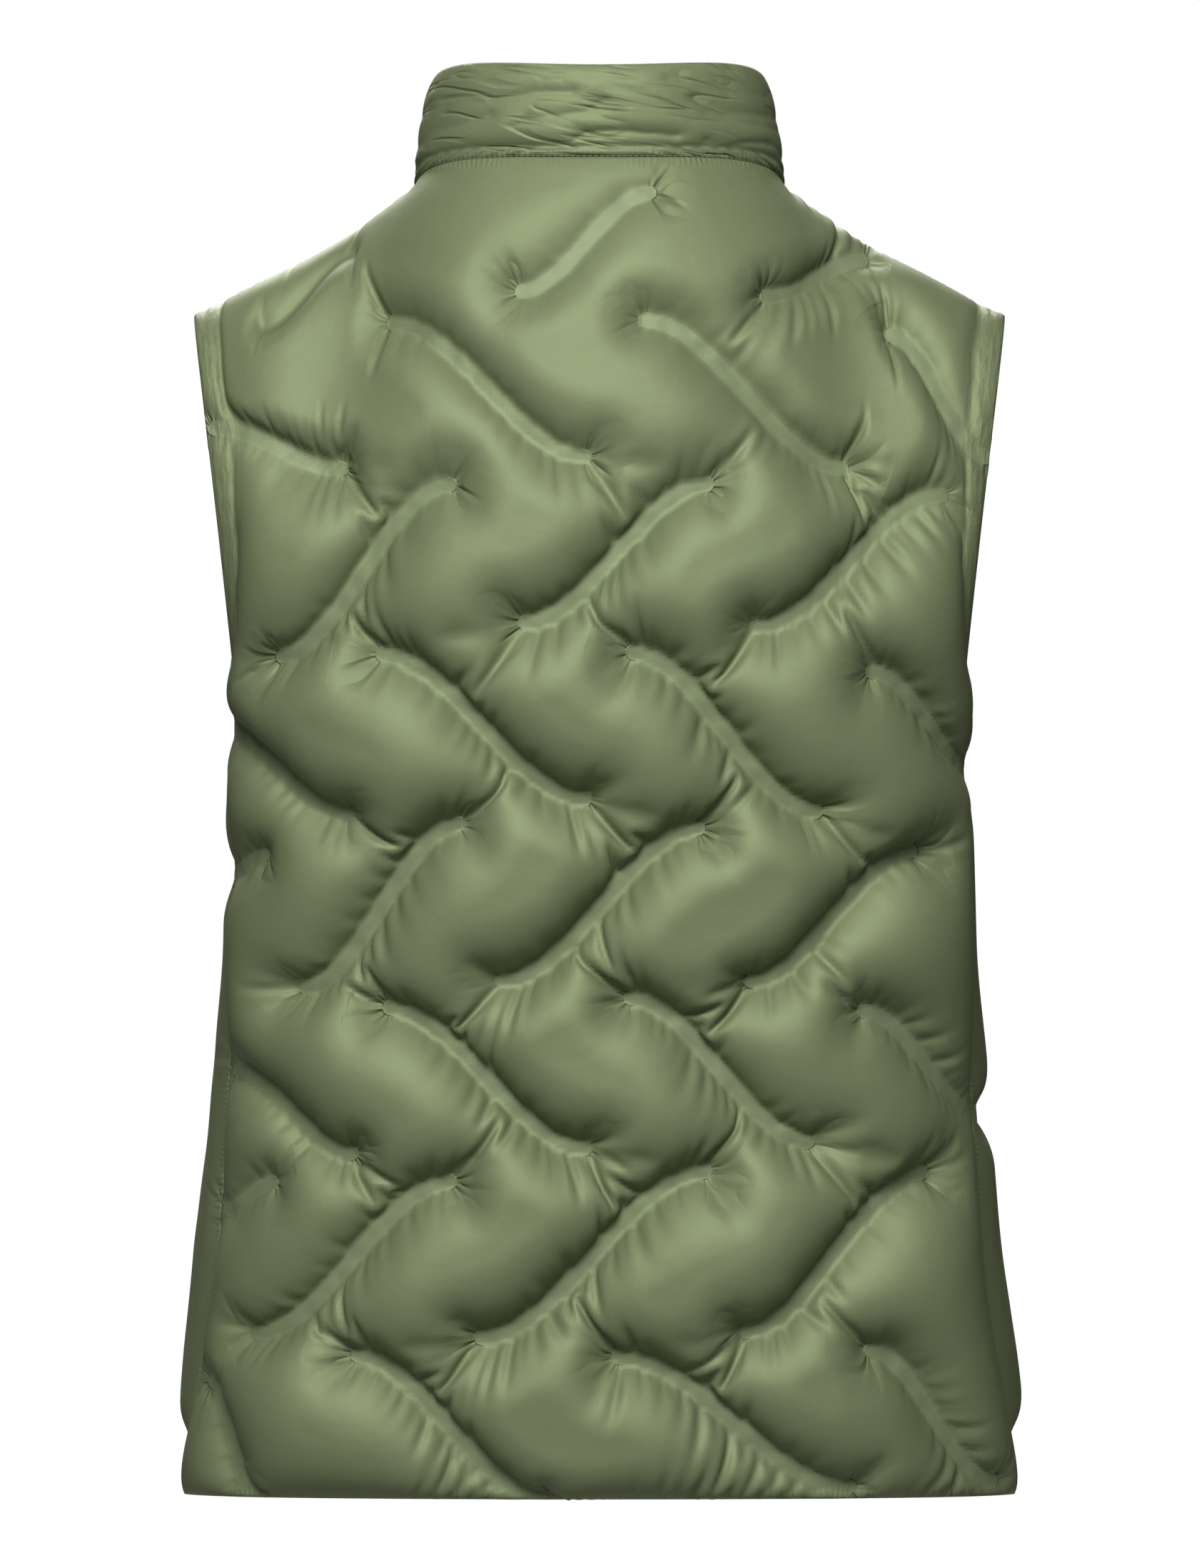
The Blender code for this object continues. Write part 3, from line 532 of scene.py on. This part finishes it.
def padded_wall(name, outside, inside, attributes, outer_finish, inner_finish, step=INSIDE_STEP):
    """A closed wall of fine outside cloth and a coarser plain inside, joined round its edges."""
    rows, columns = outside.shape[:2]
    fine = np.arange(rows * columns).reshape(rows, columns)
    coarse_points = inside[::step, ::step]
    coarse = (rows * columns + np.arange(coarse_points.shape[0] * coarse_points.shape[1])
              ).reshape(coarse_points.shape[:2])

    def quads(table):
        """The four corners of each cell of a grid of point numbers."""
        return np.stack([table[:-1, :-1], table[:-1, 1:], table[1:, 1:], table[1:, :-1]],
                        axis=-1).reshape(-1, 4)

    outer_faces, inner_faces = quads(fine), quads(coarse)[:, ::-1]
    corner = [outside[0, 0], outside[0, 1], outside[1, 0]]
    faces_out = np.dot(np.cross(corner[1] - corner[0], corner[2] - corner[0]),
                       outside[0, 0] - inside[0, 0]) > 0
    rims = []
    for fine_run, coarse_run in ((fine[0], coarse[0]), (fine[-1, ::-1], coarse[-1, ::-1]),
                                 (fine[::-1, 0], coarse[::-1, 0]), (fine[:, -1], coarse[:, -1])):
        for k in range(len(coarse_run) - 1):
            run = fine_run[k * step:(k + 1) * step + 1]
            first, second = coarse_run[k], coarse_run[k + 1]
            rims += [(run[j + 1], run[j], first if j < step // 2 else second) for j in range(step)]
            rims.append((run[step // 2], first, second))
    faces = [*outer_faces.tolist(), *inner_faces.tolist(), *[list(map(int, f)) for f in rims]]
    if not faces_out:
        faces = [face[::-1] for face in faces]
    mesh = bpy.data.meshes.new(name)
    points = np.concatenate([outside.reshape(-1, 3), coarse_points.reshape(-1, 3)])
    mesh.from_pydata(points.tolist(), [], faces)
    mesh.polygons.foreach_set("use_smooth", [True] * len(faces))
    mesh.materials.append(outer_finish)
    mesh.materials.append(inner_finish)
    mesh.polygons.foreach_set("material_index", [0] * len(outer_faces) + [1] * len(inner_faces)
                              + [0] * len(rims))
    for key, values in attributes.items():
        laid = np.zeros(len(points), np.float32)
        laid[:rows * columns] = values.ravel()
        laid[rows * columns:] = values[::step, ::step].ravel()
        mesh.attributes.new(key, "FLOAT", "POINT").data.foreach_set("value", laid)
    mesh.update()
    piece = bpy.data.objects.new(name, mesh)
    scene.collection.objects.link(piece)
    return piece


def cloth_lengths(form):
    """Distance in metres across and up the cloth, for laying the weave on it."""
    across = np.linalg.norm(np.diff(form, axis=1), axis=-1)
    up = np.linalg.norm(np.diff(form, axis=0), axis=-1)
    across = np.concatenate([np.zeros((form.shape[0], 1)), np.cumsum(across, axis=1)], axis=1)
    return (across - across[:, form.shape[1] // 2][:, None],
            np.concatenate([np.zeros((1, form.shape[1])), np.cumsum(up, axis=0)]))


def maths(tree, operation, *values):
    """The result of one sum on numbers or outputs."""
    return node(tree, "ShaderNodeMath", dict(enumerate(values)), operation=operation).outputs[0]


def ranged(tree, value, low, high, to_low, to_high, **settings):
    """A span of values mapped onto another span, and held at both its ends."""
    return node(tree, "ShaderNodeMapRange",
                {"Value": value, "From Min": low, "From Max": high, "To Min": to_low,
                 "To Max": to_high}, **settings).outputs[0]


def relief(tree, height, strength, distance, under=None, **settings):
    """Bump from a height, laid over the bump under it."""
    inputs = {"Height": height, "Strength": strength, "Distance": distance}
    if under is not None:
        inputs["Normal"] = under
    return node(tree, "ShaderNodeBump", inputs, **settings).outputs[0]


SATIN_COLOUR = (0.178, 0.211, 0.111)
LINING_COLOUR = (0.080, 0.112, 0.058)

satin, tree, shader = material("sage_satin", SATIN_COLOUR, 0.62, Metallic=0.36,
                               Specular_IOR_Level=0.10)
bond, across, up, beyond, beside = (
    node(tree, "ShaderNodeAttribute", attribute_name=name).outputs["Fac"]
    for name in ("bond", "across", "up", "beyond", "beside"))
laid = node(tree, "ShaderNodeCombineXYZ", {"X": across, "Y": up}).outputs[0]

# dye, a little uneven, with a painted sheen: the pressed bonded lines are coloured paler to stand
# in for the light their flat faces catch
cloud = node(tree, "ShaderNodeTexNoise", {"Vector": laid, "Scale": 18.0, "Detail": 3.0})
ramp, dye = two_tone(tree, cloud.outputs["Fac"], (0.170, 0.202, 0.105), (0.186, 0.220, 0.117))
ramp.elements[0].position, ramp.elements[1].position = 0.3, 0.7
pressed = ranged(tree, bond, 0.0034, 0.0040, 1.0, 0.0)
# painted sheen: a paler colour laid on the pressed lines in place of the light they catch
painted_sheen_mix = node(tree, "ShaderNodeMix", data_type="RGBA")
painted_sheen_mix.inputs["B"].default_value = (0.200, 0.237, 0.131, 1.0)
tree.links.new(pressed, painted_sheen_mix.inputs["Factor"])
tree.links.new(dye, painted_sheen_mix.inputs["A"])
tree.links.new(painted_sheen_mix.outputs["Result"], shader.inputs["Base Color"])

# fine creases that fan out ahead of the ends of the bonded lines, stronger at some than at others
way = node(tree, "ShaderNodeCombineXYZ", {"X": beyond, "Y": beside})
reach = node(tree, "ShaderNodeVectorMath", {0: way.outputs[0]}, operation="LENGTH")
angle = maths(tree, "ARCTAN2", beside, beyond)
turn = maths(tree, "MULTIPLY", angle, 1.1)
run = maths(tree, "MULTIPLY", reach.outputs["Value"], 30.0)
place = node(tree, "ShaderNodeVectorMath", {0: laid, 1: (14.0, 9.0, 0.0)},
             operation="DOT_PRODUCT")
fan = node(tree, "ShaderNodeCombineXYZ", {"X": turn, "Y": run, "Z": place.outputs["Value"]})
spokes = node(tree, "ShaderNodeTexNoise", {"Vector": fan.outputs[0], "Scale": 1.0, "Detail": 1.0,
                                           "Roughness": 0.5})
off = maths(tree, "SUBTRACT", spokes.outputs["Fac"], 0.5)
off = maths(tree, "ABSOLUTE", off)
groove = ranged(tree, off, 0.0, 0.14, 1.0, 0.0)
end = node(tree, "ShaderNodeAttribute", attribute_name="end")
fade = ranged(tree, end.outputs["Fac"], 0.005, 0.028, 1.0, 0.0, interpolation_type="SMOOTHSTEP")
ahead = maths(tree, "COSINE", angle)
ahead = ranged(tree, ahead, -0.5, 0.6, 0.0, 1.0)
chance = node(tree, "ShaderNodeTexNoise", {"Vector": laid, "Scale": 26.0})
chance = ranged(tree, chance.outputs["Fac"], 0.36, 0.60, 0.1, 1.0)
share = maths(tree, "MULTIPLY", ahead, chance)
fade = maths(tree, "MULTIPLY", fade, share)
crease = maths(tree, "MULTIPLY", groove, fade)
off_line = maths(tree, "SUBTRACT", 1.0, pressed)
crease = maths(tree, "MULTIPLY", crease, off_line)

weave = node(tree, "ShaderNodeTexWave", {"Vector": laid, "Scale": 520.0, "Distortion": 1.5,
                                         "Detail": 1.0})
ripple = node(tree, "ShaderNodeTexNoise", {"Vector": laid, "Scale": 110.0, "Detail": 2.0,
                                           "Roughness": 0.45})
bump = relief(tree, weave.outputs["Fac"], 0.05, 0.0002)
bump = relief(tree, ripple.outputs["Fac"], 0.12, 0.002, bump)
bump = relief(tree, crease, 0.8, 0.0021, bump, invert=True)

# small gathers across every sewn edge, one to a stitch and tighter in some places
seam = node(tree, "ShaderNodeAttribute", attribute_name="seam")
pucker = node(tree, "ShaderNodeAttribute", attribute_name="pucker")
uneven = node(tree, "ShaderNodeTexNoise", {"Vector": laid, "Scale": 160.0})
phase = maths(tree, "MULTIPLY", pucker.outputs["Fac"], 2244.0)
shift = maths(tree, "MULTIPLY_ADD", uneven.outputs["Fac"], 9.0, phase)
gathers = maths(tree, "SINE", shift)
gather_fade = ranged(tree, seam.outputs["Fac"], 0.0015, 0.0085, 1.0, 0.0,
                     interpolation_type="SMOOTHSTEP")
tight = node(tree, "ShaderNodeTexNoise", {"Vector": laid, "Scale": 55.0})
tight = ranged(tree, tight.outputs["Fac"], 0.40, 0.66, 0.1, 1.0)
gather_fade = maths(tree, "MULTIPLY", gather_fade, tight)
gathers = maths(tree, "MULTIPLY", gathers, gather_fade)
bump = relief(tree, gathers, 0.6, 0.0003, bump)

# long wrinkles that follow the band round each armhole
band = node(tree, "ShaderNodeAttribute", attribute_name="band")
deep = maths(tree, "MULTIPLY", band.outputs["Fac"], 230.0)
long = maths(tree, "MULTIPLY", up, 62.0)
strip = node(tree, "ShaderNodeCombineXYZ", {"X": deep, "Y": long})
folds = node(tree, "ShaderNodeTexNoise", {"Vector": strip.outputs[0], "Scale": 1.0, "Detail": 2.0})
band_fade = ranged(tree, band.outputs["Fac"], 0.011, 0.019, 1.0, 0.0)
folds = maths(tree, "MULTIPLY", folds.outputs["Fac"], band_fade)
bump = relief(tree, folds, 0.9, 0.0013, bump)

# sharp little wrinkles along the collar, which has hardly any filling
worn = node(tree, "ShaderNodeAttribute", attribute_name="worn")
slant = node(tree, "ShaderNodeVectorMath", {0: laid, 1: (13.0, 95.0, 0.0)},
             operation="DOT_PRODUCT")
length = maths(tree, "MULTIPLY", across, 19.0)
worn_place = node(tree, "ShaderNodeCombineXYZ", {"X": length, "Y": slant.outputs["Value"]})
wrinkle = node(tree, "ShaderNodeTexNoise", {"Vector": worn_place.outputs[0], "Scale": 1.0,
                                            "Detail": 1.5, "Distortion": 0.5})
wrinkle = maths(tree, "SUBTRACT", wrinkle.outputs["Fac"], 0.5)
wrinkle = maths(tree, "ABSOLUTE", wrinkle)
wrinkle = ranged(tree, wrinkle, 0.0, 0.07, 1.0, 0.0)
wrinkle = maths(tree, "MULTIPLY", wrinkle, worn.outputs["Fac"])
bump = relief(tree, wrinkle, 0.7, 0.0010, bump, invert=True)
tree.links.new(bump, shader.inputs["Normal"])

lining, tree, shader = material("plain_lining", LINING_COLOUR, 0.62)
thread = node(tree, "ShaderNodeTexNoise", {"Scale": 900.0, "Detail": 2.0})
place = node(tree, "ShaderNodeTexCoord")
tree.links.new(place.outputs["Object"], thread.inputs["Vector"])
tree.links.new(relief(tree, thread.outputs["Fac"], 0.2, 0.0003), shader.inputs["Normal"])
tone = two_tone(tree, thread.outputs["Fac"], (0.072, 0.102, 0.052), (0.090, 0.124, 0.066))[1]
tree.links.new(tone, shader.inputs["Base Color"])


def quilted(name, form, seed, side_reach):
    """A filled and bonded body panel that stands for the solid of the same name."""
    normals = side_normals(form, outward(form))
    form = inset(form, normals, SEAM_GAP / 2)
    line, beyond, beside, second, left = bond_distance(form, normals)
    half_cell = (UNDERARM_HEIGHT - FRONT_HEM_HEIGHT) / BODY_CELLS / 2

    from_low, from_top = (np.linalg.norm(form - form[row], axis=-1) for row in (0, -1))
    from_sides = [np.linalg.norm(form - form[:, col], axis=-1)
                  for col in (slice(0, 1), slice(-1, None))]
    zip_sides = [abs(form[0, col, 0]) < ZIP_EDGE_WITHIN for col in (0, -1)]
    from_zip = next((away for away, zipped in zip(from_sides, zip_sides) if zipped),
                    np.full(line.shape, FAR))
    beside_seam = np.minimum(*(away + zipped for away, zipped in zip(from_sides, zip_sides)))

    # held still: the bonded lines, the facing beside the zip and the edges
    sewn = (line < BOND_HALF_WIDTH + half_cell) | (from_zip < ZIP_FACING)
    sewn[0] = sewn[-1] = True
    sewn[:, 0] = sewn[:, -1] = True

    up_yoke = np.clip((form[..., 2] - YOKE_START) / YOKE_RISE, 0, 1)
    full = 1 - (1 - YOKE_FULLNESS) * up_yoke * up_yoke * (3 - 2 * up_yoke)
    top = np.interp(np.abs(form[..., 0]), TIP_SPAN, TOP_FULLNESS)
    full = full * (1 - (1 - top) * np.clip(1 - from_top / TOP_REACH, 0, 1) ** 1.5)
    full = full * (1 - (1 - SIDE_FULLNESS) * np.exp(-(beside_seam / side_reach) ** 2))
    band = (beside_seam - BAND_WIDTH) / BAND_SEAM
    armhole = np.clip((form[..., 2] - UNDERARM_HEIGHT) / BAND_FADE, 0, 1)
    plain = TALLEST * full * left
    banded = np.minimum(np.where(band < 0, BAND_TALLEST, plain), plain)
    banded = banded * (1 - BAND_DENT * np.exp(-band**2))
    limit = plain + armhole * (banded - plain)
    end = np.hypot(beyond, beside)
    slack = (1 + full**2 * (SLACK + SLACK_UNEVEN * patchy(form, SLACK_PATCH, seed))
             + END_SLACK * full * np.exp(-(end / END_REACH) ** 2))
    push = FILL_PUSH * full * (1 + PUSH_UNEVEN * patchy(form, PUSH_PATCH, seed + 1))
    steps = PANEL_STEPS
    rise = 0.5 + patchy(form, LINE_PATCH, seed + 2)
    flat = CLOTH + LINE_UNEVEN * rise * (line < LINE_WIDTH)
    limit = np.maximum(limit * (1 + LIMIT_UNEVEN * patchy(form, LIMIT_PATCH, seed + 3)), CLOTH)
    outside = filled(form, normals, lambda spacing: sewn, flat, form, slack, push, limit, steps)
    across, up = cloth_lengths(form)
    below = form[..., 2] < UNDERARM_HEIGHT
    seam = np.minimum(np.minimum(from_low, from_top), np.where(below, beside_seam, FAR))
    pucker = np.where(below & (beside_seam < np.minimum(from_low, from_top)), up, across)
    end = end + NO_CREASE * np.clip(1 - (second - end) / END_BORDER, 0, 1)
    down = np.array([0.0, 0.0, HOLD_HEIGHT])
    piece = padded_wall(name + "_quilted", outside - down, form - down,
                        {"bond": line, "end": end, "beyond": beyond, "beside": beside,
                         "across": across, "up": up, "seam": seam, "pucker": pucker,
                         "band": np.where(below, FAR, beside_seam)}, satin, lining)
    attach(piece, "vest")
    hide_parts(name)
    return form - down, normals


back_half = half_panel(+1)
whole_back = np.concatenate([mirrored(back_half[:, :0:-1]), back_half], axis=1)
quilted("back_panel", whole_back, 1, BACK_SIDE_REACH)


# ---- Fronts ------------------------------------------------------------------------------------
# The two fronts, cut from the same satin and lining as the back and quilted like it. Each is sewn
# to the back at the side and the shoulder, and to its side of the zip.
front_half = half_panel(-1)
front_left, left_out = quilted("front_left", front_half, 3, FRONT_SIDE_REACH)
front_right, right_out = quilted("front_right", mirrored(front_half), 5, FRONT_SIDE_REACH)


# ---- Collar ------------------------------------------------------------------------------------
# A low stand collar in the same satin, lightly padded and folded over at the top. It is sewn into
# the neckline, with a small roll of cloth above the seam, and its ends meet the zip.
COLLAR_TOP_HALF_WIDTH = 0.0800
COLLAR_TOP_BACK, COLLAR_TOP_FRONT = 0.060, 0.070
COLLAR_TOP_HEIGHTS = (0.6885, 0.6825, 0.6270)    # centre back, side, centre front
COLLAR_CELLS = 44             # from the seam up to the fold, 1.5 mm each
ROUND_CELLS = 88              # along each quarter of the neckline
COLLAR_TALLEST = 0.0062
COLLAR_PUSH = 4.0e-6
COLLAR_STEPS = (300, 300, 250)
COLLAR_SPARE = 0.035          # spare cloth up the collar, which makes it fold crosswise
ROLL_ROW = 5                  # cells from the seam to the top of the roll
ROLL_HEIGHT = 0.0024
COLLAR_FOLDS = (              # share of the height lost, width, then places as the bonded lines
    (0.32, 3.0, ((87, 665), (66, 674), (55, 671), (39, 673), (30, 675), (13, 675))),
    (0.35, 3.0, ((86, 651), (77, 659), (66, 660), (51, 665))),
    (0.37, 2.5, ((86, 641), (61, 649), (39, 650), (17, 650))),
    (0.46, 2.0, ((14, 650), (6, 655), (-7, 656), (-21, 655), (-36, 654))),
    (0.22, 2.2, ((34, 663), (17, 664), (5, 666), (-2, 670))),
    (0.35, 3.2, ((-32, 682), (-52, 677), (-80, 676))),
    (0.40, 3.2, ((-44, 673), (-60, 667), (-84, 666))),
    (0.32, 3.0, ((-50, 666), (-65, 662), (-86, 660))),
    (0.46, 2.0, ((-50, 652), (-58, 650), (-69, 652), (-79, 653), (-87, 645))),
    (0.22, 1.8, ((24, 681), (4, 683), (-32, 684))),
)


def collar_form():
    """Inside layer of the collar: rows up, columns from the left front round to the right."""
    base, base_out = [], []
    for half in (front_half, back_half):
        normals = outward(half)
        edge = inset(half, normals, -SEAM_GAP)[-1, :NECK_CELLS + 1]
        base.append(spread(edge, ROUND_CELLS))
        base_out.append(unit(spread(normals[-1, :NECK_CELLS + 1], ROUND_CELLS)))
    middle, middle_out = (base[0][-1] + base[1][-1]) / 2, unit(base_out[0][-1] + base_out[1][-1])
    ring = np.concatenate([base[0][:-1], [middle], base[1][-2::-1]])
    ring_out = np.concatenate([base_out[0][:-1], [middle_out], base_out[1][-2::-1]])
    ring = np.concatenate([ring, mirrored(ring[-2::-1])])
    ring_out = np.concatenate([ring_out, mirrored(ring_out[-2::-1])])

    back_z, side_z, front_z = COLLAR_TOP_HEIGHTS
    curve, slope = np.linalg.solve(
        [[COLLAR_TOP_BACK**2, COLLAR_TOP_BACK], [COLLAR_TOP_FRONT**2, -COLLAR_TOP_FRONT]],
        [back_z - side_z, front_z - side_z])
    first = math.asin(ZIP_HALF_WIDTH / COLLAR_TOP_HALF_WIDTH)
    quarters = []
    for start, end, depth in ((first, math.pi / 2, -COLLAR_TOP_FRONT),
                              (math.pi / 2, 0.0, COLLAR_TOP_BACK)):
        angles = np.linspace(start, end, 300)
        y = depth * np.cos(angles)
        line = [COLLAR_TOP_HALF_WIDTH * np.sin(angles), y, side_z + slope * y + curve * y**2]
        quarters.append(spread(np.stack(line, axis=1), ROUND_CELLS))
    top = np.concatenate([quarters[0], quarters[1][1:]])
    top = np.concatenate([top, mirrored(top[-2::-1])])

    up = np.linspace(0.0, 1.0, COLLAR_CELLS + 1)[:, None, None]
    form = ring + (top - ring) * up
    form[:, 0, 0] = ZIP_HALF_WIDTH + SEAM_GAP / 2
    form[:, -1, 0] = -form[:, 0, 0]
    normals = outward(form)
    normals[0] = ring_out
    return form, normals


collar, collar_out = collar_form()


def collar_sewn_at(spacing):
    """Points of the collar held still on a mesh of that spacing."""
    sewn = np.zeros(collar.shape[:2], bool)
    sewn[0] = sewn[-1] = True
    sewn[:, 0] = sewn[:, -1] = True
    if spacing == 1:
        sewn[ROLL_ROW] = True
    return sewn


collar_cut = collar[0] + (collar - collar[0]) * (1 + COLLAR_SPARE)
collar_slack = 1.012 + 0.02 * patchy(collar, 0.03, 11)
collar_push = COLLAR_PUSH * (1 + 0.6 * patchy(collar, 0.04, 12))
collar_limit = np.full(collar.shape[:2], COLLAR_TALLEST)
for share, width, places in COLLAR_FOLDS:
    x, z = np.array(places).T / 1000
    away = from_path(collar, np.clip(np.abs(collar_out[..., 1]), LEAST_TURNED, 1.0), x, z)
    collar_limit *= 1 - share * np.exp(-(away * 1000 / width) ** 2)
collar_limit = np.maximum(collar_limit, CLOTH)
seam_height = np.full(collar.shape[:2], CLOTH)
seam_height[ROLL_ROW] = ROLL_HEIGHT
steps = COLLAR_STEPS
collar_outside = filled(collar, collar_out, collar_sewn_at, seam_height, collar_cut, collar_slack,
                        collar_push, collar_limit, steps)
across, up = cloth_lengths(collar)
down = np.array([0.0, 0.0, HOLD_HEIGHT])
nowhere = np.full(across.shape, FAR)
gather_reach = 2 * up         # the seam's gathers reach half as far up the collar as elsewhere
worn_share = np.clip(2.2 * patchy(collar, 0.02, 14) + 0.6, 0.08, 1.2)
piece = padded_wall("stand_collar", collar_outside - down, collar - down,
                    {"bond": nowhere, "end": nowhere, "beyond": nowhere, "beside": nowhere,
                     "across": across, "up": up, "seam": gather_reach,
                     "pucker": across, "band": nowhere,
                     "worn": worn_share}, satin, lining)
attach(piece, "vest")
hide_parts("collar")


# ---- Zip ---------------------------------------------------------------------------------------
# A one-way metal zip on woven tape. The teeth are pressed onto the edges of the two tapes, mesh
# below the slider and stand apart above it; a box holds the two sides together at the hem.
SLIDER_DROP = 0.013           # slider's middle below the collar's top edge
SLIDER_REACH = 0.0062         # the slider hides the teeth this far above and below its middle
TAPE_GAP, SLIDER_SPREAD = 0.0004, 0.0021
TOOTH = (0.0032, 0.00115, 0.0026)      # across the zip, along it, through it
TOOTH_PITCH = 0.0026
TOOTH_PLACE = 0.00075         # middle of a tooth from the middle of the closed zip
TAPE_MIDDLE = 0.0006
BOTTOM_BOX = (0.0070, 0.0085, 0.0028)
TOP_STOP = (0.0034, 0.0030, 0.0029)
BOX_PLACE = 0.0062            # up from the zip's lower end
FIRST_TOOTH = 0.0130
LAST_TOOTH_GAP, STOP_GAP = 0.0045, 0.0022     # down from the zip's upper end
SLOPE_REACH = 0.002           # the zip's slope is read this far to both sides
TAPE_COLOUR = (0.070, 0.096, 0.050)
METAL_COLOUR = (0.42, 0.42, 0.40)

zip_path = np.concatenate([front_half[:, 0], collar[1:, 0]]) * (0.0, 1.0, 1.0) - down
zip_along = np.concatenate([[0.0], np.cumsum(np.linalg.norm(np.diff(zip_path, axis=0), axis=1))])
slider_place = zip_along[-1] - SLIDER_DROP

blank = bmesh.new()
bmesh.ops.create_cube(blank, size=1.0)
bmesh.ops.bevel(blank, geom=blank.edges[:], offset=0.16, segments=1, affect="EDGES")
block_points = np.array([vert.co[:] for vert in blank.verts])
block_faces = [[vert.index for vert in face.verts] for face in blank.faces]
blank.free()


def blocks(name, rows, finish):
    """Small bevelled blocks in one mesh: each row is a middle, a size and three directions."""
    points, faces = [], []
    for middle, size, *directions in rows:
        faces += [[len(points) + corner for corner in face] for face in block_faces]
        points += (middle + (block_points * size) @ np.array(directions)).tolist()
    mesh = bpy.data.meshes.new(name)
    mesh.from_pydata(points, [], faces)
    mesh.materials.append(finish)
    made = bpy.data.objects.new(name, mesh)
    scene.collection.objects.link(made)
    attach(made, "vest")
    return made


def on_zip(place, offset, size):
    """A block's row at that place along the zip, offset to one side of its middle."""
    ahead, behind, middle = (np.array([np.interp(at, zip_along, zip_path[:, k]) for k in range(3)])
                             for at in (place + SLOPE_REACH, place - SLOPE_REACH, place))
    along = unit(ahead - behind)
    out = np.array([0.0, -along[2], along[1]])
    return middle + TAPE_MIDDLE * out + (offset, 0.0, 0.0), size, (1.0, 0.0, 0.0), along, out


teeth = []
for hand, first in ((1, FIRST_TOOTH), (-1, FIRST_TOOTH + TOOTH_PITCH / 2)):
    for place in np.arange(first, zip_along[-1] - LAST_TOOTH_GAP, TOOTH_PITCH):
        if abs(place - slider_place) > SLIDER_REACH:
            apart = SLIDER_SPREAD - TAPE_GAP if place > slider_place else 0.0
            teeth.append(on_zip(place, hand * (TOOTH_PLACE + apart), TOOTH))
    teeth.append(on_zip(zip_along[-1] - STOP_GAP,
                        hand * (TOOTH_PLACE + SLIDER_SPREAD - TAPE_GAP), TOP_STOP))
teeth.append(on_zip(BOX_PLACE, 0.0, BOTTOM_BOX))

metal, tree, shader = material("dulled_nickel", METAL_COLOUR, 0.58, Metallic=1.0)
place = node(tree, "ShaderNodeTexCoord")
wear = node(tree, "ShaderNodeTexNoise", {"Vector": place.outputs["Object"], "Scale": 420.0,
                                         "Detail": 3.0})
tone = two_tone(tree, wear.outputs["Fac"], (0.36, 0.36, 0.34), (0.48, 0.48, 0.46))[1]
tree.links.new(tone, shader.inputs["Base Color"])
matt = ranged(tree, wear.outputs["Fac"], 0.0, 1.0, 0.50, 0.66)
tree.links.new(matt, shader.inputs["Roughness"])

tape, tree, shader = material("zip_tape_weave", TAPE_COLOUR, 0.78)
place = node(tree, "ShaderNodeTexCoord")
rib = node(tree, "ShaderNodeTexWave", {"Vector": place.outputs["Object"], "Scale": 700.0,
                                       "Distortion": 1.0}, bands_direction="X")
pick = node(tree, "ShaderNodeTexWave", {"Vector": place.outputs["Object"], "Scale": 500.0,
                                        "Distortion": 1.0}, bands_direction="Z")
woven = maths(tree, "MULTIPLY", rib.outputs["Fac"], pick.outputs["Fac"])
tone = two_tone(tree, woven, (0.060, 0.083, 0.043), (0.082, 0.110, 0.058))[1]
tree.links.new(tone, shader.inputs["Base Color"])
tree.links.new(relief(tree, woven, 0.4, 0.0003), shader.inputs["Normal"])

blocks("zip_teeth", teeth, metal)
for name, finish in (("zip_tape_left", tape), ("zip_tape_right", tape),
                     ("zip_slider", metal), ("zip_pull", metal)):
    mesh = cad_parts[name].data
    mesh.materials.clear()
    mesh.materials.append(finish)


# ---- Stitching ---------------------------------------------------------------------------------
# Lockstitch in matching thread: one line down each front beside the zip, and one in the seam
# that joins the collar to the fronts and the back.
STITCH_LENGTH, STITCH_GAP = 0.0022, 0.0006
LINE_MARGIN = 0.002           # from the ends of a line to its first and last stitch
THREAD = 0.00042
ZIP_LINE = 0.0050             # from the edge of each front
THREAD_COLOUR = (0.120, 0.150, 0.078)

thread, tree, shader = material("sewing_thread", THREAD_COLOUR, 0.6)
place = node(tree, "ShaderNodeTexCoord")
twist = node(tree, "ShaderNodeTexWave", {"Vector": place.outputs["Object"], "Scale": 900.0},
             bands_direction="DIAGONAL")
tone = two_tone(tree, twist.outputs["Fac"], (0.105, 0.132, 0.067), (0.138, 0.172, 0.090))[1]
tree.links.new(tone, shader.inputs["Base Color"])


def stitched(path, out):
    """Rows of blocks for a line of stitches along a path of points with their normals."""
    along = np.concatenate([[0.0], np.cumsum(np.linalg.norm(np.diff(path, axis=0), axis=1))])
    rows = []
    for at in np.arange(LINE_MARGIN, along[-1] - LINE_MARGIN, STITCH_LENGTH + STITCH_GAP):
        start, end, normal = (np.array([np.interp(place, along, table[:, k]) for k in range(3)])
                              for place, table in ((at, path), (at + STITCH_LENGTH, path),
                                                   (at + STITCH_LENGTH / 2, out)))
        run = unit(end - start)
        side = unit(np.cross(run, normal))
        rows.append(((start + end) / 2 + normal * THREAD / 3, (STITCH_LENGTH, THREAD, THREAD),
                     run, side, np.cross(side, run)))
    return rows


lines = []
for panel, out in ((front_left, left_out), (front_right, right_out)):
    zip_side = panel, out
    if abs(panel[0, 0, 0]) > ZIP_EDGE_WITHIN:
        zip_side = panel[:, ::-1], out[:, ::-1]
    points, normals = zip_side
    away = np.linalg.norm(points - points[:, :1], axis=-1)
    path = np.array([[np.interp(ZIP_LINE, away[row], points[row, :, k]) for k in range(3)]
                     for row in range(len(points))])
    lines += stitched(path + normals[:, 2] * CLOTH, normals[:, 2])
blocks("zip_stitching", lines, thread)

neck_path = collar[0] - down + collar_out[0] * CLOTH
blocks("neck_stitching", stitched(neck_path, collar_out[0]), thread)
